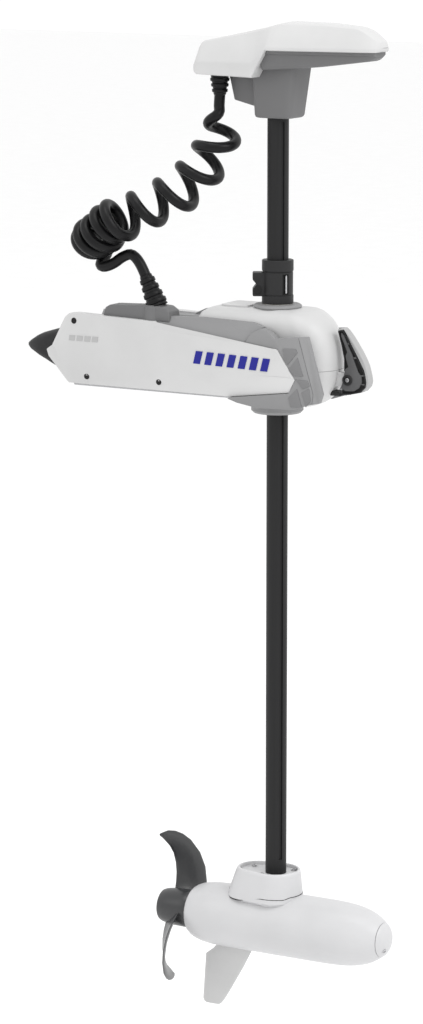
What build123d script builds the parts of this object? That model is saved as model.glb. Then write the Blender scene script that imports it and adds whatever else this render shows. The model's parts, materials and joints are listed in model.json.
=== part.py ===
"""Bow-mount electric trolling motor: deck mount, tilting steering housing, shaft, control head,
motor pod and propeller.

Frame: millimetres, +X towards the bow, +Z up. The origin is the centre of the deck bolt pattern
on the underside of the mount, so z = 0 is the deck. The motor is modelled deployed: shaft upright,
propeller in the water below.
"""

import math
import os
from build123d import *

# ---------------------------------------------------------------- driving dimensions
bolt_pitch_x = 240.0  # deck bolts, along the mount
bolt_pitch_y = 76.0  # deck bolts, across the mount
bolt_hole_r = 4.25  # 8 mm deck bolts

shaft_x = 200.0  # steering axis, ahead of the bolt centre
shaft_r = 18.0
shaft_bore_r = 13.0
shaft_top = 530.0
shaft_bottom = -842.0
keyway_angle = -35.0  # round the shaft, from the bow
keyway_width = 6.0
keyway_depth = 3.0
running = 0.05  # radial gap of every running fit

pivot_x = 110.0  # tilt pin
pivot_z = 80.0
pin_r = 8.0
bush_r = 10.0

rail_inner = 56.0  # half the gap between the two rails
rail_outer = 62.0
skin_inner = 62.4  # where the plastic covers start
skin_outer = 80.0
cover_wall = 3.0
seam = 0.2  # each cover is trimmed by this much, so seams are twice as wide

housing_half = 54.0
housing_wall = 4.0
housing_seam_z = 53.0
hub_r = 26.0
hub_bottom = -24.0
hub_top = 157.0
bush_outer_r = 30.0

gear_module = 2.0
gear_teeth = 40
pinion_teeth = 16
gear_bottom = 22.0
gear_height = 12.0

pod_z = -916.0  # motor centreline
pod_r = 55.0
pod_chamber_r = 50.0
prop_shaft_r = 8.0
prop_x = 4.0  # middle of the propeller hub
hub_outer_r = 33.0

cord_r = 9.25
coil_r = 40.0

mount_side = Plane.XZ  # sketch x is X, sketch y is Z, and extrusions run towards -Y
pod_plane = Plane(origin=(0, 0, pod_z), x_dir=(1, 0, 0), z_dir=(0, -1, 0))
pod_axis = Axis((0, 0, pod_z), (1, 0, 0))
pieces = {}


def gear_outline(teeth, module, slack):
    """Corner points of an involute spur gear, each tooth thinned by slack (mm) on the pitch circle."""
    pitch = module * teeth / 2
    base = pitch * math.cos(math.radians(20))
    tip = pitch + 0.9 * module
    root = pitch - 1.2 * module
    half_tooth = math.pi / (2 * teeth) - slack / (2 * pitch)
    flank_lean = math.tan(math.acos(base / pitch)) - math.acos(base / pitch)
    points = []
    for tooth in range(teeth):
        middle = 2 * math.pi * tooth / teeth
        flank = []
        for step in range(5):
            radius = max(base, root) + (tip - max(base, root)) * step / 4
            unwound = math.acos(base / radius)
            lean = flank_lean + half_tooth - (math.tan(unwound) - unwound)
            flank.append((radius, lean))
        foot = flank[0][1]
        rising = [(root, -foot)] * (root < base) + [(radius, -lean) for radius, lean in flank]
        falling = [(radius, -angle) for radius, angle in reversed(rising)]
        for radius, angle in rising + falling:
            points.append((radius * math.cos(middle + angle), radius * math.sin(middle + angle)))
    return points


def corner_radii(route):
    """The arc radius at each inner point of a route: as large as its two runs allow."""
    radii = []
    for before, here, after in zip(route, route[1:], route[2:]):
        arrive = Vector(*here) - Vector(*before)
        leave = Vector(*after) - Vector(*here)
        half_turn = math.radians(arrive.get_angle(leave)) / 2
        radii.append(0.45 * min(arrive.length, leave.length) / math.tan(half_turn))
    return radii


def polygon(points, inset=0.0):
    """A flat shape with straight edges, shrunk inwards by inset with its corners kept sharp."""
    with BuildSketch() as shape:
        with BuildLine():
            Polyline(*points, close=True)
        make_face()
        if inset:
            offset(amount=-inset, kind=Kind.INTERSECTION)
    return shape.sketch


def rounded_polygon(points, radii, inset=0.0):
    """A flat shape with a rounding radius at each corner, shrunk inwards by inset."""
    with BuildSketch() as shape:
        with BuildLine():
            FilletPolyline(*points, radius=radii, close=True)
        make_face()
        if inset:
            offset(amount=-inset)
    return shape.sketch


def slot_shape(front_r, back_r, back):
    """A steering-axis circle and a smaller one behind it, wrapped in one outline."""
    with BuildSketch() as shape:
        with Locations((shaft_x, 0)):
            Circle(front_r)
        with Locations((shaft_x - back, 0)):
            Circle(back_r)
        make_hull()
    return shape.sketch


def hollow_cover(outline, outer, wall_inset, edge):
    """A side cover, open towards the rail: its outer corner is chamfered by edge."""
    rim = polygon(outline, seam)
    well = polygon(outline, wall_inset)
    with BuildPart() as cover:
        with BuildSketch(mount_side.offset(skin_inner)):
            add(rim)
        extrude(amount=outer - skin_inner)
        if edge:
            chamfer(cover.faces().sort_by(Axis.Y)[0].edges(), edge)
        with BuildSketch(mount_side.offset(skin_inner)):
            add(well)
        extrude(amount=outer - skin_inner - cover_wall, mode=Mode.SUBTRACT)
    return cover


# ================================================================ deck mount
rail_outline = [
    (-162, 0.3), (150, 0.3), (204, -7), (300, 2), (312, 20), (290, 100), (236, 96),
    (212, 112), (100, 118), (36, 116), (34, 100), (-150, 100), (-184, 68), (-194, 50),
]
with BuildPart() as base_chassis:
    with BuildSketch(Plane.XY):
        with Locations((-9, 0)):
            Rectangle(306, 2 * rail_inner + 1)
    extrude(amount=8)
    with BuildSketch(Plane.XY.offset(8)):
        with Locations((-70, 0)):
            with GridLocations(96, 56, 2, 2):
                Circle(4)
    extrude(amount=5.8)
    with BuildSketch(mount_side.offset(rail_inner)) as rail_sketch:
        with BuildLine():
            Polyline(*rail_outline, close=True)
        make_face()
    extrude(amount=rail_outer - rail_inner)
    with BuildSketch(mount_side.offset(-rail_outer)):
        add(rail_sketch.sketch_local)
    extrude(amount=rail_outer - rail_inner)
    with BuildSketch(Plane.YZ.offset(-162)):
        with Locations((0, 48)):
            Rectangle(2 * rail_inner + 1, 96)
    extrude(amount=6)
    with Locations(Plane.XY.offset(8)):
        with GridLocations(bolt_pitch_x, bolt_pitch_y, 2, 2):
            Hole(bolt_hole_r)
    with Locations(Plane(origin=(pivot_x, rail_outer, pivot_z), z_dir=(0, 1, 0))):
        Hole(pin_r)
pieces["base_chassis"] = base_chassis

with BuildPart() as tilt_pin:
    with BuildSketch(Plane(origin=(pivot_x, rail_outer, pivot_z), z_dir=(0, -1, 0))):
        Circle(pin_r)
    extrude(amount=2 * rail_outer)
    chamfer(tilt_pin.edges().filter_by(GeomType.CIRCLE), 1)
pieces["tilt_pin"] = tilt_pin

panel_outline = [
    (-171, 4), (150, 4), (263, 19), (276, 42), (242, 91), (2, 109), (9, 122),
    (-160, 127), (-181, 86), (-197, 69), (-211, 60), (-208, 48),
]
fairing_outline = [
    (2, 109), (178, 96), (191, 113), (211, 124), (188, 130), (94, 133), (29, 131), (9, 122),
]
hinge_outline = [
    (150, 4), (146, 3), (165, -4), (202, -10), (271, -8), (318, 4), (323, 20), (295, 114),
    (238, 108), (224, 120), (211, 124), (191, 113), (178, 96), (242, 91), (276, 42), (263, 19),
]
pieces["side_cover_right"] = hollow_cover(panel_outline, skin_outer, cover_wall + seam, 2)
pieces["hinge_cover_right"] = hollow_cover(hinge_outline, 78.0, cover_wall, 0)

fairing_flange = polygon([
    (31, 130.6), (94, 132.7), (188, 129.7), (188, 126.7), (94, 129.7), (31, 127.6),
])
with BuildPart() as fairing_right:
    add(hollow_cover(fairing_outline, 76.0, cover_wall, 1.5).part)
    with BuildSketch(mount_side.offset(rail_inner - 0.6)):
        add(fairing_flange)
    extrude(amount=skin_inner - rail_inner + 1)
pieces["fairing_right"] = fairing_right

for name in ("side_cover", "fairing", "hinge_cover"):
    with BuildPart() as left_piece:
        mirror(pieces[f"{name}_right"].part, about=Plane.XZ)
    pieces[f"{name}_left"] = left_piece

# A lid over the chassis, with a shallow valley along its middle that the stowed shaft lies over.
lid_outline = [
    (-61.6, 100.4), (-61.6, 120), (-34, 120), (-27, 111), (27, 111), (34, 120), (61.6, 120),
    (61.6, 100.4), (58.6, 100.4), (58.6, 117), (35.5, 117), (28.5, 108), (-28.5, 108),
    (-35.5, 117), (-58.6, 117), (-58.6, 100.4),
]
with BuildPart() as top_cover:
    with BuildSketch(Plane.YZ.offset(-162)):
        with BuildLine():
            Polyline(*lid_outline, close=True)
        make_face()
    extrude(amount=195)
pieces["top_cover"] = top_cover

gland_axis_x = -2.0
gland_axis_y = -54.0
gland_lean = math.degrees(math.atan2(25, 53))  # towards the tail
gland_plane = Plane(
    origin=(gland_axis_x, gland_axis_y, 147),
    x_dir=(math.cos(math.radians(gland_lean)), 0, math.sin(math.radians(gland_lean))),
    z_dir=(-math.sin(math.radians(gland_lean)), 0, math.cos(math.radians(gland_lean))),
)
with BuildPart() as gland_cover:
    with BuildSketch(mount_side.offset(35)):
        with BuildLine():
            Polyline((-100, 120.4), (-92, 143), (12, 147), (30.4, 142), (30.4, 120.4), close=True)
        make_face()
    extrude(amount=37)
    with BuildSketch(Plane.XY.offset(120.4)):
        with Locations((gland_axis_x - 4, -60)):
            Circle(18)
    extrude(amount=26.5)
    with BuildSketch(mount_side.offset(61.9)):
        with Locations((-60, 117)):
            Rectangle(123, 21)
        with Locations((26, 130)):
            Rectangle(49, 40)
    extrude(amount=22, mode=Mode.SUBTRACT)
    with BuildSketch(mount_side.offset(38)):
        with BuildLine():
            Polyline((-96, 120.4), (-89, 140), (11, 144), (27.4, 140), (27.4, 120.4), close=True)
        make_face()
    extrude(amount=20, mode=Mode.SUBTRACT)
pieces["gland_cover"] = gland_cover

# Ribbed strain reliefs: a tapered sleeve with raised rings, bored for the cord.
def strain_relief(plane, length, root_r, tip_r, rings):
    with BuildPart() as relief:
        with BuildSketch(plane):
            Circle(root_r)
        with BuildSketch(plane.offset(length)):
            Circle(tip_r)
        loft()
        for ring in range(rings):
            share = (ring + 0.8) / (rings + 0.6)
            with BuildSketch(plane.offset(length * share)):
                Circle(root_r + (tip_r - root_r) * share + 1.6)
            extrude(amount=length * 0.5 / (rings + 0.6))
    return relief


with BuildPart() as cord_gland_lower:
    add(strain_relief(gland_plane.offset(-8), 62.0, 18.0, 10.5, 4).part)
    split(bisect_by=Plane.XY.offset(147.2), keep=Keep.TOP)
pieces["cord_gland_lower"] = cord_gland_lower

with BuildPart() as tail_bumper:
    with BuildSketch(mount_side):
        with BuildLine():
            Polyline((-162.5, 94), (-200, 94), (-255, 79), (-283, 62), (-285, 54), (-232, 30),
                     (-200, 12), (-162.5, 12), close=True)
        make_face()
    extrude(amount=50, both=True)
    with BuildSketch(Plane.XY):
        with Locations((-220, 0)):
            RectangleRounded(131, 99, 40)
    extrude(amount=120, mode=Mode.INTERSECT)
    with BuildSketch(mount_side):
        with BuildLine():
            Polyline((-170, 86), (-200, 86), (-250, 72), (-270, 60), (-230, 38), (-198, 20),
                     (-170, 20), close=True)
        make_face()
    extrude(amount=42, both=True, mode=Mode.SUBTRACT)
pieces["tail_bumper"] = tail_bumper

with BuildPart() as supply_gland:
    with BuildSketch(Plane.YZ.offset(-155.8)):
        with Locations((0, 40)):
            Circle(11)
            Circle(6.5, mode=Mode.SUBTRACT)
    extrude(amount=14)
pieces["supply_gland"] = supply_gland

with BuildPart() as terminal_board:
    with BuildSketch(Plane.XY.offset(14)):
        with Locations((-70, 0)):
            Rectangle(110, 70)
    extrude(amount=1.6)
    with BuildSketch(Plane.XY.offset(15.6)):
        with Locations((-95, -18), (-95, 18), (-50, 0)):
            Rectangle(22, 18)
    extrude(amount=12)
pieces["terminal_board"] = terminal_board

with BuildPart() as lift_springs:
    for side in (1, -1):
        for turn in range(3):
            with BuildSketch(Plane(origin=(pivot_x, side * (24 + 3.4 * turn), pivot_z),
                                   z_dir=(0, side, 0))):
                Circle(12)
                Circle(8.6, mode=Mode.SUBTRACT)
            extrude(amount=3)
pieces["lift_springs"] = lift_springs

screw_places = [(-152, 113), (-132, 18), (12, 19)]
with BuildPart() as side_cover_screws:
    for side in (1, -1):
        for x, z in screw_places:
            with BuildSketch(Plane(origin=(x, side * skin_outer, z), z_dir=(0, side, 0))):
                Circle(3.6)
            extrude(amount=0.6)
pieces["side_cover_screws"] = side_cover_screws

# ================================================================ tilting steering housing
housing_points = [
    (76, 60), (94, 34), (118, 14), (150, 13), (157, -12), (266, -12), (302, 2), (317, 42),
    (316, 100), (294, 150), (110, 150), (80, 144), (70, 100),
]
housing_radii = [10, 12, 10, 3, 6, 12, 16, 40, 70, 34, 10, 10, 30]
housing_plan = [(40, -housing_half), (318, -housing_half), (318, housing_half), (40, housing_half)]


def housing_body(inset):
    """The housing's outer form, or its inner form when shrunk by the wall."""
    side = rounded_polygon(housing_points, housing_radii, inset)
    plan = rounded_polygon(housing_plan, [2, 46, 46, 2], inset)
    with BuildPart() as body:
        with BuildSketch(mount_side):
            add(side)
        extrude(amount=housing_half - inset, both=True)
        with BuildSketch(Plane.XY.offset(-20)):
            add(plan)
        extrude(amount=200, mode=Mode.INTERSECT)
    return body.part


housing_shell = housing_body(0)
housing_hollow = housing_body(housing_wall)
ear_plane = Plane(origin=(pivot_x, 0, pivot_z), x_dir=(1, 0, 0), z_dir=(0, -1, 0))
with BuildPart() as housing_whole:
    add(housing_shell)
    add(housing_hollow, mode=Mode.SUBTRACT)
    for start in (34, -housing_half):
        with BuildSketch(ear_plane.offset(start)):
            Circle(16)
        extrude(amount=housing_half - 34)
    with BuildSketch(ear_plane.offset(-housing_half)):
        Circle(bush_r)
    extrude(amount=2 * housing_half, mode=Mode.SUBTRACT)
    with BuildSketch(Plane.XY.offset(136)):
        with Locations((shaft_x, 0)):
            Circle(36)
    extrude(amount=13)
    with BuildSketch(Plane.XY.offset(-11)):
        with Locations((shaft_x, 0)):
            Circle(36)
    extrude(amount=13)
    with BuildSketch(Plane.XY.offset(-20)):
        with Locations((shaft_x, 0)):
            Circle(bush_outer_r)
    extrude(amount=180, mode=Mode.SUBTRACT)

with BuildPart() as housing_upper:
    add(housing_whole.part)
    split(bisect_by=Plane.XY.offset(housing_seam_z + seam), keep=Keep.TOP)
pieces["housing_upper"] = housing_upper

lever_x = 338.0
lever_z = 38.0
lever_plane = Plane(origin=(lever_x, 0, lever_z), x_dir=(1, 0, 0), z_dir=(0, -1, 0))
with BuildPart() as lever_lugs:
    for start in (5.5, -10.5):
        with BuildSketch(lever_plane.offset(start)):
            with BuildLine():
                FilletPolyline((-28, -13), (0, -9), (8, 0), (0, 9), (-28, 13),
                               radius=[1, 5, 5, 5, 1], close=True)
            make_face()
        extrude(amount=5)
    with BuildSketch(lever_plane.offset(-30)):
        Circle(5)
    extrude(amount=60, mode=Mode.SUBTRACT)

with BuildPart() as housing_lower:
    add(housing_whole.part)
    split(bisect_by=Plane.XY.offset(housing_seam_z - seam), keep=Keep.BOTTOM)
    add(lever_lugs.part)
pieces["housing_lower"] = housing_lower

with BuildPart() as tilt_bushes:
    for start in (34, -housing_half):
        with BuildSketch(ear_plane.offset(start)):
            Circle(bush_r)
            Circle(pin_r + running, mode=Mode.SUBTRACT)
        extrude(amount=housing_half - 34)
pieces["tilt_bushes"] = tilt_bushes

with BuildPart() as hub_bushes:
    for start in (-12, 138):
        with BuildSketch(Plane.XY.offset(start)):
            with Locations((shaft_x, 0)):
                Circle(bush_outer_r)
                Circle(hub_r + running, mode=Mode.SUBTRACT)
        extrude(amount=12)
pieces["hub_bushes"] = hub_bushes

with BuildPart() as top_ring:
    with BuildSketch(Plane.XY.offset(150.2)):
        with Locations((shaft_x, 0)):
            Circle(38)
            Circle(hub_r + 0.6, mode=Mode.SUBTRACT)
    extrude(amount=5.8)
    chamfer(top_ring.faces().sort_by(Axis.Z)[-1].edges().sort_by(SortBy.LENGTH)[-1], 1.5)
pieces["top_ring"] = top_ring

with BuildPart() as lower_cap:
    with BuildSketch(Plane.XY.offset(-12.3)):
        with Locations((shaft_x, 0)):
            Circle(44)
            Circle(hub_r + 0.6, mode=Mode.SUBTRACT)
    extrude(amount=-14.7)
    chamfer(lower_cap.faces().sort_by(Axis.Z)[0].edges().sort_by(SortBy.LENGTH)[-1], 4)
pieces["lower_cap"] = lower_cap

with BuildPart() as service_plate:
    with BuildSketch(Plane.XY.offset(150.2)):
        with Locations((132, 0)):
            RectangleRounded(50, 60, 6)
    extrude(amount=2.5)
pieces["service_plate"] = service_plate

pinion_x = shaft_x - gear_module * (gear_teeth + pinion_teeth) / 2
with BuildPart() as steering_motor:
    with BuildSketch(Plane.XY.offset(40)):
        with Locations((pinion_x, 0)):
            Circle(21)
    extrude(amount=84)
    with BuildSketch(Plane.XY.offset(36)):
        with Locations((pinion_x, 0)):
            Circle(10)
            Circle(4.3, mode=Mode.SUBTRACT)
    extrude(amount=4)
pieces["steering_motor"] = steering_motor

with BuildPart() as lever_bolt:
    with BuildSketch(lever_plane.offset(-15)):
        Circle(5)
    extrude(amount=30)
    with BuildSketch(lever_plane.offset(15)):
        Circle(8)
    extrude(amount=4)
    with BuildSketch(lever_plane.offset(-19)):
        RegularPolygon(8, 6)
    extrude(amount=4)
pieces["lever_bolt"] = lever_bolt

with BuildPart() as lever_spring:
    for turn in range(3):
        with BuildSketch(lever_plane.offset(-5 + 3.4 * turn)):
            Circle(9)
            Circle(5.4, mode=Mode.SUBTRACT)
        extrude(amount=3)
pieces["lever_spring"] = lever_spring

# ================================================================ release lever
lever_points = [
    (324.3, 121), (333.7, 123), (342.3, 115), (357.4, 87), (367.5, 50), (367.5, 36), (359.6, 20),
    (349.5, 13), (335.1, 14), (323.6, 28),
]
with BuildPart() as lever_frame:
    for start in (11, -14):
        with BuildSketch(mount_side.offset(start)):
            with BuildLine():
                FilletPolyline(*lever_points, radius=[3, 3, 8, 24, 6, 6, 6, 5, 10, 10], close=True)
            make_face()
            offset(amount=-3.2)
        extrude(amount=3)
    with BuildSketch(mount_side.offset(-11)):
        with BuildLine():
            Polyline((330.1, 117), (333.7, 118.5), (340.2, 112), (354.6, 85), (363.9, 50),
                     (363.9, 38), (358.2, 25), (355.3, 27), (360.3, 40), (360.3, 49), (351.3, 82.5),
                     (337.3, 108.5), (333, 113), (330.1, 112), close=True)
        make_face()
    extrude(amount=22)
    with BuildSketch(lever_plane.offset(-30)):
        Circle(5 + running)
    extrude(amount=60, mode=Mode.SUBTRACT)
pieces["lever_frame"] = lever_frame

with BuildPart() as lever_cover:
    with BuildSketch(mount_side.offset(-15)):
        with BuildLine():
            FilletPolyline((330.8, 122.5), (333.7, 123), (342.3, 115), (357.4, 87), (367.5, 50),
                           (367.5, 36), (359.6, 20), (349.5, 13), (343.8, 13.4), (343.8, 9.4),
                           (350.6, 9), (361.8, 17), (371.1, 35), (371.1, 51), (360.7, 89.5),
                           (344.5, 119), (334.4, 127.5), (330.1, 126.5),
                           radius=[0.5, 1.5, 7, 22, 6, 6, 6, 4, 0.5, 0.5, 7, 8, 9, 9, 25, 10,
                                   4, 0.5],
                           close=True)
        make_face()
    extrude(amount=30)
pieces["lever_cover"] = lever_cover

# ================================================================ steering train
with BuildPart() as steering_pinion:
    with BuildSketch(Plane.XY.offset(gear_bottom)):
        with Locations(Location((pinion_x, 0, 0), (0, 0, 180 / pinion_teeth))):
            Polygon(*gear_outline(pinion_teeth, gear_module, 0.35), align=None)
    extrude(amount=gear_height)
    with BuildSketch(Plane.XY.offset(gear_bottom + gear_height)):
        with Locations((pinion_x, 0)):
            Circle(4)
    extrude(amount=5.7)
pieces["steering_pinion"] = steering_pinion

with BuildPart() as steering_gear:
    with BuildSketch(Plane.XY.offset(gear_bottom)):
        with Locations((shaft_x, 0)):
            Polygon(*gear_outline(gear_teeth, gear_module, 0.35), align=None)
        with Locations((shaft_x, 0)):
            Circle(hub_r, mode=Mode.SUBTRACT)
    extrude(amount=gear_height)
pieces["steering_gear"] = steering_gear

key_plane = Plane(
    origin=(shaft_x, 0, 0),
    x_dir=(math.cos(math.radians(keyway_angle)), math.sin(math.radians(keyway_angle)), 0),
    z_dir=(0, 0, 1),
)
key_inner = shaft_r - keyway_depth + 0.4
with BuildPart() as steering_hub:
    with BuildSketch(Plane.XY.offset(hub_bottom)):
        with Locations((shaft_x, 0)):
            Circle(hub_r)
            Circle(shaft_r + running, mode=Mode.SUBTRACT)
    extrude(amount=hub_top - hub_bottom)
    with BuildSketch(key_plane.offset(50)):
        with Locations((19, 0)):
            Rectangle(8, keyway_width - 0.2)
    extrude(amount=60, mode=Mode.SUBTRACT)
pieces["steering_hub"] = steering_hub

with BuildPart() as steering_key:
    with BuildSketch(key_plane.offset(50)):
        with Locations(((key_inner + 23) / 2, 0)):
            Rectangle(23 - key_inner, keyway_width - 0.2)
    extrude(amount=60)
pieces["steering_key"] = steering_key

lug_angle = 210.0
collar_slot_angle = -30.0
lug_plane = Plane(
    origin=(shaft_x, 0, 0),
    x_dir=(math.cos(math.radians(lug_angle)), math.sin(math.radians(lug_angle)), 0),
    z_dir=(0, 0, 1),
)
collar_r = 26.5
collar_bottom = 157.3
with BuildPart() as collar_whole:
    with BuildSketch(Plane.XY.offset(collar_bottom)):
        with Locations((shaft_x, 0)):
            Circle(collar_r)
    extrude(amount=72.7)
    with BuildSketch(lug_plane.offset(168)):
        with Locations((24, 0)):
            Rectangle(36, 26)
    extrude(amount=41)
    with BuildSketch(Plane(origin=lug_plane.from_local_coords((42, 0, 188)),
                           x_dir=lug_plane.x_dir, z_dir=lug_plane.y_dir)):
        Polygon((-9, 0), (2, 9), (2, -9), align=None)
    extrude(amount=30, both=True, mode=Mode.SUBTRACT)
    with BuildSketch(Plane(origin=lug_plane.from_local_coords((34, 0, 180)),
                           x_dir=lug_plane.x_dir, z_dir=lug_plane.y_dir)):
        Circle(3.2)
    extrude(amount=30, both=True, mode=Mode.SUBTRACT)
    with BuildSketch(Plane.XY.offset(collar_bottom + 14)):
        with Locations(Location((shaft_x, 0, 0), (0, 0, collar_slot_angle))):
            with Locations((collar_r, 0)):
                Rectangle(9, 11)
    extrude(amount=36, mode=Mode.SUBTRACT)
    with BuildSketch(Plane.XY.offset(collar_bottom)):
        with Locations((shaft_x, 0)):
            Circle(shaft_r + running)
    extrude(amount=80, mode=Mode.SUBTRACT)

cut_plane = Plane(origin=(shaft_x, 0, 0), x_dir=lug_plane.x_dir, z_dir=lug_plane.y_dir)
with BuildPart() as collar_halves:
    add(collar_whole.part)
    with BuildSketch(cut_plane.offset(-0.5)):
        Rectangle(200, 500)
    extrude(amount=1, mode=Mode.SUBTRACT)
pieces["collar_halves"] = collar_halves

with BuildPart() as collar_screw:
    with BuildSketch(Plane(origin=lug_plane.from_local_coords((34, -13, 180)),
                           x_dir=lug_plane.x_dir, z_dir=lug_plane.y_dir)):
        Circle(3)
    extrude(amount=26)
    with BuildSketch(Plane(origin=lug_plane.from_local_coords((34, -16.2, 180)),
                           x_dir=lug_plane.x_dir, z_dir=lug_plane.y_dir)):
        Circle(5)
    extrude(amount=3)
    with BuildSketch(Plane(origin=lug_plane.from_local_coords((34, 13.2, 180)),
                           x_dir=lug_plane.x_dir, z_dir=lug_plane.y_dir)):
        RegularPolygon(5.5, 6)
    extrude(amount=3)
pieces["collar_screw"] = collar_screw

# ================================================================ shaft and control head
with BuildPart() as shaft_tube:
    with BuildSketch(Plane.XY.offset(shaft_bottom)):
        with Locations((shaft_x, 0)):
            Circle(shaft_r)
            Circle(shaft_bore_r, mode=Mode.SUBTRACT)
    extrude(amount=shaft_top - shaft_bottom)
    with BuildSketch(key_plane.offset(-800)):
        with Locations((shaft_r - keyway_depth / 2 + 1, 0)):
            Rectangle(keyway_depth + 2, keyway_width)
    extrude(amount=1260, mode=Mode.SUBTRACT)
pieces["shaft_tube"] = shaft_tube

with BuildPart() as shaft_cable:
    with BuildSketch(Plane.XY.offset(-856)):
        with Locations((shaft_x, 0)):
            Circle(5.5)
    extrude(amount=1385)
pieces["shaft_cable"] = shaft_cable

neck_bottom = 466.0
neck_top = 543.0
with BuildPart() as neck_blank:
    with BuildSketch(Plane.XY.offset(neck_bottom)):
        with Locations((shaft_x + 3, 0)):
            RectangleRounded(68, 60, 20)
    with BuildSketch(Plane.XY.offset(neck_top)):
        with Locations((shaft_x + 6, 0)):
            RectangleRounded(84, 64, 20)
    loft()
    with BuildSketch(mount_side.offset(-9)):
        with BuildLine():
            Polyline((112, 533), (122, 493), (175, 480), (175, 533), close=True)
        make_face()
    extrude(amount=18)
    with BuildSketch(Plane.XY.offset(neck_bottom)):
        with Locations((shaft_x, 0)):
            Circle(shaft_r)
    extrude(amount=shaft_top - neck_bottom, mode=Mode.SUBTRACT)
    with BuildSketch(Plane.XY.offset(shaft_top - 2)):
        with Locations((shaft_x + 3, 0)):
            Circle(9)
    extrude(amount=20, mode=Mode.SUBTRACT)

head_plan = [(62, -52), (200, -64), (390, -30), (390, 30), (200, 64), (62, 52)]
head_plan_radii = [10, 60, 12, 12, 60, 10]
head_side = [
    (62, 546), (70, 536), (182, 534), (208, 579), (392, 579), (399, 584), (396, 596), (362, 619),
    (226, 625), (196, 617), (74, 590),
]
lip_z = 579.0


def head_body(inset):
    """The control head's outer form, or its inner form when shrunk by the wall."""
    side = polygon(head_side, inset)
    plan = rounded_polygon(head_plan, head_plan_radii, inset)
    with BuildPart() as body:
        with BuildSketch(mount_side):
            add(side)
        extrude(amount=70, both=True)
        with BuildSketch(Plane.XY.offset(520)):
            add(plan)
        extrude(amount=120, mode=Mode.INTERSECT)
    return body.part


head_outer = head_body(0)
head_inner = head_body(cover_wall)
with BuildPart() as head_neck:
    add(neck_blank.part)
    add(head_outer, mode=Mode.SUBTRACT)
pieces["head_neck"] = head_neck

gland_top = (100.0, -20.0)
head_opening = rounded_polygon([(212, -55), (385, -24), (385, 24), (212, 55)], [4, 10, 10, 4])
with BuildPart() as head_cover:
    add(head_outer)
    add(head_inner, mode=Mode.SUBTRACT)
    with BuildSketch(Plane.XY.offset(lip_z - 8)):
        add(head_opening)
    extrude(amount=14, mode=Mode.SUBTRACT)
    with BuildSketch(Plane.XY.offset(530)):
        with Locations(gland_top):
            Circle(8)
    extrude(amount=20, mode=Mode.SUBTRACT)
pieces["head_cover"] = head_cover

tray_outer = polygon([(189, 545), (289, 552), (386, 565), (392, 577), (209.5, 577)])
tray_inner = polygon([(197, 549), (289, 555.5), (380, 568), (380, 580), (214, 580)])
tray_plan = rounded_polygon(head_plan, head_plan_radii, 7)
with BuildPart() as head_tray:
    with BuildSketch(mount_side):
        add(tray_outer)
    extrude(amount=70, both=True)
    with BuildSketch(Plane.XY.offset(530)):
        add(tray_plan)
    extrude(amount=60, mode=Mode.INTERSECT)
    with BuildSketch(mount_side):
        add(tray_inner)
    extrude(amount=44, both=True, mode=Mode.SUBTRACT)
    with BuildSketch(Plane.XY.offset(540)):
        with Locations((shaft_x + 10, 0)):
            Circle(8)
    extrude(amount=20, mode=Mode.SUBTRACT)
pieces["head_tray"] = head_tray

with BuildPart() as head_board:
    with BuildSketch(Plane.XY.offset(584)):
        with Locations((262, 0)):
            Rectangle(150, 70)
    extrude(amount=1.6)
    with BuildSketch(Plane.XY.offset(585.6)):
        with Locations((215, 18), (215, -18), (250, 14), (250, -16)):
            Rectangle(16, 12)
    extrude(amount=3)
    with BuildSketch(Plane.XY.offset(585.6)):
        with Locations((300, 0)):
            Rectangle(28, 28)
    extrude(amount=7)
pieces["head_board"] = head_board

tray_screw_places = [(236, 38), (236, -38), (340, 24), (340, -24)]
with BuildPart() as head_screws:
    for x, y in tray_screw_places:
        with BuildSketch(Plane.XY.offset(570)):
            with Locations((x, y)):
                Circle(2.2)
        extrude(amount=13.8)
pieces["head_screws"] = head_screws

upper_gland_plane = Plane(origin=(*gland_top, 533.2), x_dir=(1, 0, 0), z_dir=(0, 0, -1))
pieces["cord_gland_upper"] = strain_relief(upper_gland_plane, 32.0, 15.6, 10.5, 3)

# ================================================================ motor pod
saddle = slot_shape(46, 42, 44)
with BuildPart() as motor_housing:
    with BuildSketch(pod_plane):
        with BuildLine():
            Polyline((408, 0), (38, 0), (38, 39))
            Bezier((38, 39), (52, 51), (80, 54.5), (110, 54.5))
            Line((110, 54.5), (300, pod_r))
            Bezier((300, pod_r), (352, pod_r), (392, 51), (408, 33))
            Line((408, 33), (408, 0))
        make_face()
    revolve(axis=pod_axis)
    with BuildSketch(Plane.XY.offset(pod_z)):
        add(saddle)
    extrude(amount=pod_r - 7)
    with BuildSketch(pod_plane):
        with BuildLine():
            Polyline((30, 0), (30, 17), (64, 17), (64, 40), (84, pod_chamber_r), (320, pod_chamber_r),
                     (370, 44), (398, 31), (412, 31), (412, 0), close=True)
        make_face()
    revolve(axis=pod_axis, mode=Mode.SUBTRACT)
    with BuildSketch(Plane.XY.offset(pod_z)):
        with Locations((shaft_x, 0)):
            Circle(shaft_r + 0.3)
    extrude(amount=120, mode=Mode.SUBTRACT)
pieces["motor_housing"] = motor_housing

with BuildPart() as nose_cap:
    with BuildSketch(pod_plane):
        with BuildLine():
            Polyline((398.5, 0), (398.5, 30.7), (408.3, 30.7), (408.3, 32.8))
            Bezier((408.3, 32.8), (416, 24), (421, 12), (421, 0))
            Line((421, 0), (398.5, 0))
        make_face()
    revolve(axis=pod_axis)
    with BuildSketch(Plane.YZ.offset(394)):
        with Locations((0, pod_z)):
            Circle(26)
    extrude(amount=16, mode=Mode.SUBTRACT)
pieces["nose_cap"] = nose_cap

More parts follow.
